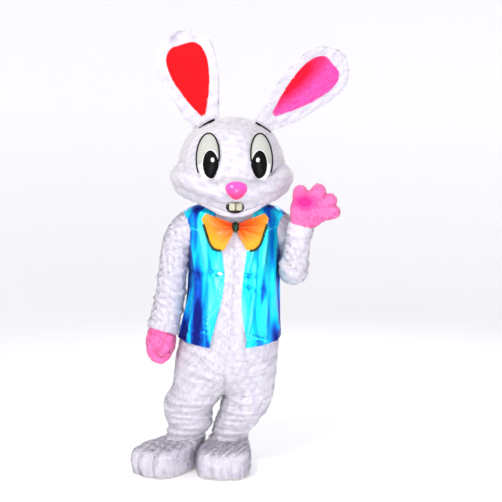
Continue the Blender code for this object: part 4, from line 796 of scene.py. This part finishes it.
EYE_RIM = Vector((0.0585, 0.0395, 0.1165))
BEAD, BEAD_FORWARD = 0.0036, -0.012
BEAD_ENDS = {"left": (-42, 192), "right": (-12, 222)}
EYE_FRAMES = {"left": (0.1275, -0.2064, 0.237, 26), "right": (-0.1136, -0.2275, 0.237, -16)}
head_tree = bvh_of(head)
beads = []
for side, (x, y, z, yaw) in EYE_FRAMES.items():
    eye_frame = (Matrix.Translation((x, y, z)) @ Matrix.Rotation(math.radians(yaw), 4, "Z")
                 @ Matrix.Rotation(math.radians(-9), 4, "X"))
    back = eye_frame.inverted()
    into = (eye_frame.to_3x3() @ Vector((0, 1, 0))).normalized()
    bead_line = []
    for degrees in np.linspace(*BEAD_ENDS[side], 40):
        turn = math.radians(degrees)
        for reach in np.linspace(0.5, 1.05, 45):
            out = eye_frame @ Vector((EYE_RIM.x * reach * math.cos(turn), -0.12, EYE_RIM.z * reach * math.sin(turn)))
            spot = head_tree.ray_cast(out, into)[0]
            own = back @ spot
            if (own.x / EYE_RIM.x) ** 2 + (own.y / EYE_RIM.y) ** 2 + (own.z / EYE_RIM.z) ** 2 >= 1:
                break
        own.y = min(own.y, BEAD_FORWARD)
        size = math.sqrt((1 - (own.y / EYE_RIM.y) ** 2) / ((own.x / EYE_RIM.x) ** 2 + (own.z / EYE_RIM.z) ** 2))
        bead_line.append(eye_frame @ Vector((own.x * size, own.y, own.z * size)))
    beads.append(tube_along(f"eye_bead_{side}", bead_line, BEAD, black_vinyl))

# %% [markdown]
# Two kinds of sewing are added. The waistcoat is topstitched 6 mm inside every edge, and a coil zip closes the suit's
# back. The stitch line starts from the crisp outer edges of each panel: every edge knows which way the cloth lies, so
# the line is moved in along the cloth, laid on it again, and cut into stitches. One stitch is modelled and then
# repeated.

# %% Topstitching
def repeat(name, base, spots, material):
    """One joined mesh of a small form at many places; each spot is a 4 by 4 matrix."""
    count = len(base.data.vertices)
    form = np.hstack([points_of(base), np.ones((count, 1))])
    faces = [tuple(face.vertices) for face in base.data.polygons]
    points, all_faces = [], []
    for k, spot in enumerate(spots):
        points.append((form @ np.array(spot).T)[:, :3])
        all_faces += [tuple(v + k * count for v in face) for face in faces]
    mesh = bpy.data.meshes.new(name)
    mesh.from_pydata(np.vstack(points).tolist(), [], all_faces)
    mesh.shade_smooth()
    mesh.materials.append(material)
    piece = place_object(name, mesh)
    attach(piece, "root")
    print(f"{name}: {len(spots)} repeats, {len(mesh.polygons)} faces")
    return piece


def chains(edges):
    """Join edges end to end into lines of vertices."""
    left = set(edges)
    lines = []
    while left:
        edge = left.pop()
        line = [edge.verts[0], edge.verts[1]]
        onward = edge
        while onward:
            onward = next((e for e in line[-1].link_edges if e in left), None)
            if onward:
                left.remove(onward)
                line.append(onward.other_vert(line[-1]))
        lines.append(line)
    return lines


def stitch_spots(piece, path, inset, pitch):
    """Where the stitches of a cloth piece lie, as frames along its outer edges."""
    skin = bmesh.new()
    skin.from_mesh(piece.data)
    inward = {}
    rims = []
    for edge in skin.edges:
        if len(edge.link_faces) != 2 or edge.calc_face_angle() < RIM_ANGLE:
            continue
        middle = (edge.verts[0].co + edge.verts[1].co) / 2
        out = Vector(beside(np.array([middle]), path)[2][0])
        cloth, rim = sorted(edge.link_faces, key=lambda f: -f.normal.dot(out))
        if cloth.normal.dot(out) > 0.4 and abs(rim.normal.dot(out)) < 0.6:
            rims.append(edge)
            for vertex in edge.verts:
                inward[vertex] = inward.get(vertex, Vector()) - rim.normal
    tree = bvh_of(piece)
    spots = []
    for line in chains(rims):
        laid = []
        for vertex in line:
            spot, normal = tree.find_nearest(vertex.co + inward[vertex].normalized() * inset)[:2]
            out = Vector(beside(np.array([spot]), path)[2][0])
            laid.append((spot, normal if normal.dot(out) > 0 else -normal))
        run = np.concatenate([[0], np.cumsum([(b[0] - a[0]).length for a, b in zip(laid, laid[1:])])])
        for at in np.arange(pitch / 2, run[-1], pitch):
            k = min(int(np.searchsorted(run, at)) - 1, len(laid) - 2)
            part = (at - run[k]) / max(run[k + 1] - run[k], 1e-9)
            spot = laid[k][0].lerp(laid[k + 1][0], part)
            ahead = (laid[k + 1][0] - laid[k][0]).normalized()
            up_side = laid[k][1].lerp(laid[k + 1][1], part).normalized()
            across = up_side.cross(ahead).normalized()
            frame_here = Matrix((ahead, across, up_side)).transposed().to_4x4()
            frame_here.translation = spot + up_side * 0.0002
            spots.append(frame_here)
    skin.free()
    return spots


STITCH_INSET, STITCH_PITCH = 0.006, 0.0046
bpy.ops.object.select_all(action="DESELECT")
bpy.ops.mesh.primitive_uv_sphere_add(segments=6, ring_count=5, radius=1.0)
stitch = bpy.context.object
stitch.scale = (0.0017, 0.00042, 0.00040)
bpy.ops.object.transform_apply(scale=True)
for panel in vest:
    line = stitch_spots(panel, TORSO_PATH, STITCH_INSET, STITCH_PITCH)
    repeat(panel.name.replace("satin", "stitches"), stitch, line, thread)
bpy.data.objects.remove(stitch)

# %% Zip teeth
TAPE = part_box("suit_zip")
TOOTH_PITCH, TAPE_END = 0.0030, 0.006
tape_tree = bvh_of(nodes["suit_zip"])
bpy.ops.mesh.primitive_cube_add(size=1.0)
tooth = bpy.context.object
tooth.scale = (0.0034, 0.0016, 0.0013)
bpy.ops.object.transform_apply(scale=True)
edge_round = tooth.modifiers.new("worn edges", "BEVEL")
edge_round.width = 0.0004
edge_round.segments = 2
bpy.ops.object.modifier_apply(modifier=edge_round.name)
tape_points = points_of(nodes["suit_zip"])
spots = []
for k, z in enumerate(np.arange(TAPE[0][2] + TAPE_END, TAPE[1][2] - TAPE_END, TOOTH_PITCH / 2)):
    level = tape_points[np.argsort(np.abs(tape_points[:, 2] - z))[:8]]
    middle = float(level[:, 0].min() + level[:, 0].max()) / 2
    spot = tape_tree.ray_cast(Vector((middle, 0.5, z)), Vector((0, -1, 0)))[0]
    if spot is not None:
        spots.append(Matrix.Translation((middle + (0.0011 if k % 2 else -0.0011), spot.y + 0.0004, z)))
repeat("zip_teeth", tooth, spots, tape_cotton)
bpy.data.objects.remove(tooth)

# %% [markdown]
# Pile is what makes plush read as plush: hundreds of thousands of short blades. Each is one slim triangle on the skin,
# combed the way the cloth was cut and with the skin's own normal, so that the whole shades softly. Real pile is finer;
# these blades are 2 mm wide so that they show. Slow waves over the skin turn and tint them in clumps of about 45 mm.
# Blades are left out where another piece lies on the skin.

# %% Grow pile
DENSITY = 150000
CLUMP = 0.045
STAND, LIE_DOWN, SCATTER, CLUMP_PULL = 0.62, 0.72, 0.26, 0.22
HALF_BLADE, ROOT_SINK = 0.0011, 0.0008


def pile(name, carrier, length, comb, material, outside, clear_of=(), seed=1):
    """Grow blades on the outside of a piece, combed along a direction field, as one joined mesh."""
    rng = np.random.default_rng(seed)
    mesh = carrier.data
    mesh.calc_loop_triangles()
    corners = np.empty(len(mesh.loop_triangles) * 3, dtype=np.int32)
    mesh.loop_triangles.foreach_get("vertices", corners)
    corners = corners.reshape(-1, 3)
    points = points_of(carrier)
    normals = np.empty(len(mesh.vertices) * 3)
    mesh.vertex_normals.foreach_get("vector", normals)
    normals = normals.reshape(-1, 3)
    a, b, c = (points[corners[:, k]] for k in range(3))
    face = np.cross(b - a, c - a)
    area = np.linalg.norm(face, axis=1) / 2
    area = area * outside((a + b + c) / 3, face / np.maximum(area[:, None] * 2, 1e-12))
    count = int(DENSITY * area.sum())
    pick = rng.choice(len(corners), count, p=area / area.sum())
    u, v = rng.random(count), rng.random(count)
    flip = u + v > 1
    u[flip], v[flip] = 1 - u[flip], 1 - v[flip]
    share = np.stack([1 - u - v, u, v], axis=1)[:, :, None]
    root = (points[corners[pick]] * share).sum(axis=1)
    normal = (normals[corners[pick]] * share).sum(axis=1)
    normal /= np.maximum(np.linalg.norm(normal, axis=1), 1e-9)[:, None]
    for other, gap in clear_of:
        tree = bvh_of(other)
        free = np.array([tree.find_nearest(tuple(p), gap)[0] is None for p in root])
        root, normal = root[free], normal[free]
    count = len(root)
    flow = comb(root)
    flow = flow - normal * np.sum(flow * normal, axis=1)[:, None]
    flow /= np.maximum(np.linalg.norm(flow, axis=1), 1e-6)[:, None]
    waves = rng.normal(0, math.tau / CLUMP, (8, 3))
    clump = np.sin(root @ waves.T + rng.uniform(0, math.tau, 8))
    drift = np.stack([clump[:, 0] + clump[:, 1], clump[:, 2] + clump[:, 3], clump[:, 4] + clump[:, 5]], axis=1)
    jitter = rng.normal(0, SCATTER, (count, 3)) + CLUMP_PULL * drift
    lie = normal * STAND + flow * LIE_DOWN + jitter
    lie /= np.linalg.norm(lie, axis=1)[:, None]
    side = np.cross(normal, lie)
    side /= np.maximum(np.linalg.norm(side, axis=1), 1e-6)[:, None]
    long = (length * rng.uniform(0.65, 1.1, count))[:, None]
    half = (HALF_BLADE * rng.uniform(0.8, 1.3, count))[:, None]
    tone = np.clip(0.5 * rng.random(count) + 0.28 * clump[:, 6] + 0.22 * clump[:, 7] + 0.35, 0, 1)
    base = root - normal * ROOT_SINK
    blades = np.stack([base - side * half, base + side * half, base + lie * long], axis=1)
    turned = np.sum(np.cross(blades[:, 1] - blades[:, 0], blades[:, 2] - blades[:, 0]) * normal, axis=1) < 0
    blades[turned] = blades[turned][:, [1, 0, 2]]
    mesh = bpy.data.meshes.new(name)
    mesh.vertices.add(count * 3)
    mesh.vertices.foreach_set("co", blades.ravel())
    mesh.loops.add(count * 3)
    mesh.loops.foreach_set("vertex_index", np.arange(count * 3))
    mesh.polygons.add(count)
    mesh.polygons.foreach_set("loop_start", np.arange(0, count * 3, 3))
    mesh.update(calc_edges=True)
    mesh.attributes.new("tip", "FLOAT", "POINT").data.foreach_set("value", np.tile([0.0, 0.0, 1.0], count))
    mesh.attributes.new("tone", "FLOAT", "POINT").data.foreach_set("value", np.repeat(tone, 3))
    mesh.polygons.foreach_set("use_smooth", np.ones(count, dtype=bool))
    shade = np.repeat(normal + lie * 0.15, 3, axis=0)
    shade /= np.linalg.norm(shade, axis=1)[:, None]
    mesh.normals_split_custom_set_from_vertices(shade.tolist())
    mesh.materials.append(material)
    tuft = place_object(name, mesh)
    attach(tuft, "root")
    print(f"{name}: {count} blades")
    return tuft


def from_axis(path):
    """Faces that look away from an upright path."""
    def test(centre, normal):
        return np.sum(beside(centre, path)[2] * normal, axis=1) > 0.05
    return test


def from_path(path):
    """Faces that look away from a bent path."""
    def test(centre, normal):
        return np.sum(along(centre, path)[1] * normal, axis=1) > 0.05
    return test


def from_point(middle):
    """Faces that look away from a point."""
    def test(centre, normal):
        return np.sum((centre - np.array(middle)) * normal, axis=1) > 0
    return test


def all_round(centre, normal):
    """Every face."""
    return np.ones(len(centre))


def combed(direction):
    """The same direction all over."""
    return lambda root: np.tile(np.array(direction, dtype=float), (len(root), 1))


def away_from(middle, pull=(0, 0, 0)):
    """Away from a point, with a pull of its own."""
    return lambda root: (lambda v: v / np.linalg.norm(v, axis=1)[:, None])(root - np.array(middle)) + np.array(pull)


HEAD_MIDDLE = (-0.012, 0.0, 0.22)
NOSE_TIP = (0.0168, -0.33, 0.10)
near_eyes = [(hard_face[n], 0.004) for n in ("eye_left", "eye_right")] + [(b, 0.003) for b in beads]
near_eyes += [(nodes[f"brow_{side}"], 0.007) for side in ("left", "right")]
fur = {}
fur["head"] = pile("pile_head", head, 0.012, away_from(NOSE_TIP, (0, 0.3, 0)), white_pile,
                   from_point(HEAD_MIDDLE), near_eyes + [(muzzle, 0.004), (hard_face["mouth"], 0.004)], 11)
fur["muzzle"] = pile("pile_muzzle", muzzle, 0.010, away_from(NOSE_TIP), white_pile,
                     from_point(HEAD_MIDDLE), [(hard_face["nose"], 0.003), (head, 0.002)] + near_eyes, 12)
fur["chin"] = pile("pile_chin", chin, 0.007, away_from(NOSE_TIP), white_pile,
                   from_point(HEAD_MIDDLE), [(hard_face["mouth"], 0.003)], 13)
for side, tip, seed, ear, lining in (("left", (0.75, 0, 0.66), 14, ears[0], linings[0]),
                                     ("right", (-0.30, 0, 0.95), 15, ears[1], linings[1])):
    fur[f"ear_{side}"] = pile(f"pile_ear_{side}", ear, 0.013, combed(tip), white_pile, all_round,
                              [(lining, 0.0012), (head, 0.002)], seed)
    lining_pile = rose_pile if side == "left" else red_shaded_lining_pile
    fur[f"lining_{side}"] = pile(f"pile_ear_lining_{side}", lining, 0.006, combed(tip), lining_pile, all_round,
                                 (), seed + 2)
LEG_FROM = {"left": TORSO_PATH + LEFT_LEG, "right": TORSO_PATH + RIGHT_LEG}
over_suit = [(v, 0.014) for v in vest] + [(head, 0.006), (nodes["suit_zip"], 0.003)]
for k, panel in enumerate(suit):
    side = "left" if "left" in panel.name else "right"
    fur[panel.name] = pile(panel.name.replace("plush_suit", "pile_suit"), panel, 0.011, combed((0, 0, -1)),
                           white_pile, from_axis(LEG_FROM[side]), over_suit, 20 + k)
for k, piece in enumerate(sleeves):
    arm = LEFT_ARM if "left" in piece.name else RIGHT_ARM
    flow = (0.1, -0.3, 1.0) if "left" in piece.name and "cuff" in piece.name else (0, -0.2, -1)
    fur[piece.name] = pile(piece.name.replace("plush", "pile"), piece, 0.011, combed(flow), white_pile,
                           from_path(arm), (), 30 + k)
for k, piece in enumerate(gloves):
    flow = (0.3, 0, 1) if k == 0 else (0, -0.2, -1)
    fur[piece.name] = pile(piece.name.replace("plush", "pile"), piece, 0.007, combed(flow), pink_pile,
                           all_round, [(sleeves[1 if k == 0 else 3], 0.002)], 40 + k)
for k, piece in enumerate(shoes):
    ankle = (-0.026, 0.05, -1.10) if k == 0 else (-0.243, 0.05, -1.10)
    axis = ((ankle[0], 0.0, -1.10), (ankle[0], 0.0, -1.27))
    fur[piece.name] = pile(piece.name.replace("plush", "pile"), piece, 0.012, away_from(ankle, (0, 0, -0.5)),
                           white_pile, from_axis(axis), [(p, 0.006) for p in suit], 50 + k)
print("blades in all:", sum(len(f.data.polygons) for f in fur.values()))

# %% [markdown]
# The floor is a plain pale paper disc whose rim curves up all round, so no line shows where floor meets wall. Three
# large soft lamps light it as in a studio. The camera stands where the photograph was taken from: about four and a half
# metres in front and a little above the chest.

# %% Floor, lights and camera
FLOOR = cad_box[0][2] - 0.0005
FLAT_RADIUS, SWEEP_RADIUS, WALL = 5.5, 2.5, 3.0
bpy.ops.object.select_all(action="DESELECT")
bpy.ops.mesh.primitive_circle_add(vertices=96, radius=FLAT_RADIUS, fill_type="NGON", location=(0, 0, FLOOR))
paper = bpy.context.object
paper.name = "studio_paper"
bpy.ops.object.mode_set(mode="EDIT")
bpy.ops.mesh.select_all(action="SELECT")
bpy.ops.mesh.region_to_loop()
radius = FLAT_RADIUS
for degrees in range(9, 91, 9):
    turn = math.radians(degrees)
    wider = FLAT_RADIUS + SWEEP_RADIUS * math.sin(turn)
    rise_by = SWEEP_RADIUS * (math.cos(turn - math.radians(9)) - math.cos(turn))
    bpy.ops.mesh.extrude_region_move(TRANSFORM_OT_translate={"value": (0, 0, rise_by)})
    bpy.ops.transform.resize(value=(wider / radius, wider / radius, 1))
    radius = wider
bpy.ops.mesh.extrude_region_move(TRANSFORM_OT_translate={"value": (0, 0, WALL)})
bpy.ops.object.mode_set(mode="OBJECT")
bpy.ops.object.shade_smooth()
studio_paper, _ = start("pale studio paper", {"Roughness": 0.95, "Base Color": linear("#F4F3F5"),
                                              "Emission Color": linear("#FFFFFF"), "Emission Strength": 0.20})
paper.data.materials.append(studio_paper)

WORLD_LIGHT = 0.56
world = bpy.data.worlds.new("soft studio")
bpy.context.scene.world = world
world.use_nodes = True
background = world.node_tree.nodes["Background"]
background.inputs["Color"].default_value = linear("#F1F1F5")
background.inputs["Strength"].default_value = WORLD_LIGHT

for name, place, size, power, tint in (("key", (-1.7, -3.0, 3.0), 1.1, 100, "#FFFDF8"),
                                       ("fill", (0.9, -4.6, -0.3), 2.4, 85, "#F6F6FF"),
                                       ("back", (0.8, 2.8, 2.2), 1.8, 45, "#FFFFFF")):
    lamp = bpy.data.lights.new(name, "AREA")
    lamp.size = size
    lamp.energy = power
    lamp.color = linear(tint)[:3]
    light = place_object(name, lamp)
    light.location = place
    light.rotation_euler = (Vector((0.05, 0, -0.15)) - Vector(place)).to_track_quat("-Z", "Y").to_euler()

camera = place_object("camera", bpy.data.cameras.new("camera"))
target = Vector((0.083, 0.0, -0.213))
DISTANCE, LENS, rise = 4.5, 65.8, math.radians(4)
camera.location = target + Vector((0, -math.cos(rise), math.sin(rise))) * DISTANCE
camera.rotation_euler = (target - camera.location).to_track_quat("-Z", "Y").to_euler()
camera.data.lens = LENS
camera.data.sensor_width = 36
bpy.context.scene.camera = camera
bpy.context.scene.view_settings.view_transform = "Standard"
print("camera at", [round(v, 3) for v in camera.location])

# %% [markdown]
# Last, each cloth says how it was cut before it was hung, and each stuffed piece says that it is one. Then the sizes of
# the CAD model and of the dressed one are written down to be compared.

# %% Cloth, stuffing and sizes
CUTS = {"plush_suit_front_left": (0.43, 1.24, 0.380, "hung"), "plush_suit_front_right": (0.43, 1.24, 0.385, "hung"),
        "plush_suit_back_left": (0.43, 1.24, 0.375, "hung"), "plush_suit_back_right": (0.43, 1.24, 0.380, "hung"),
        "plush_sleeve_left": (0.50, 0.52, 0.195, "hung"), "plush_sleeve_right": (0.50, 0.56, 0.215, "hung"),
        "plush_cuff_left": (0.40, 0.048, 0.019, "stretched"), "plush_cuff_right": (0.48, 0.046, 0.022, "stretched"),
        "satin_vest_front_left": (0.30, 0.70, 0.165, "hung"), "satin_vest_front_right": (0.30, 0.70, 0.165, "hung"),
        "satin_vest_back": (0.62, 0.66, 0.380, "hung"), "plush_ear_lining_left": (0.17, 0.40, 0.048, "laid"),
        "plush_ear_lining_right": (0.20, 0.38, 0.050, "laid")}
for piece in suit + sleeves + vest + linings:
    width, length, area, held = CUTS[piece.name]
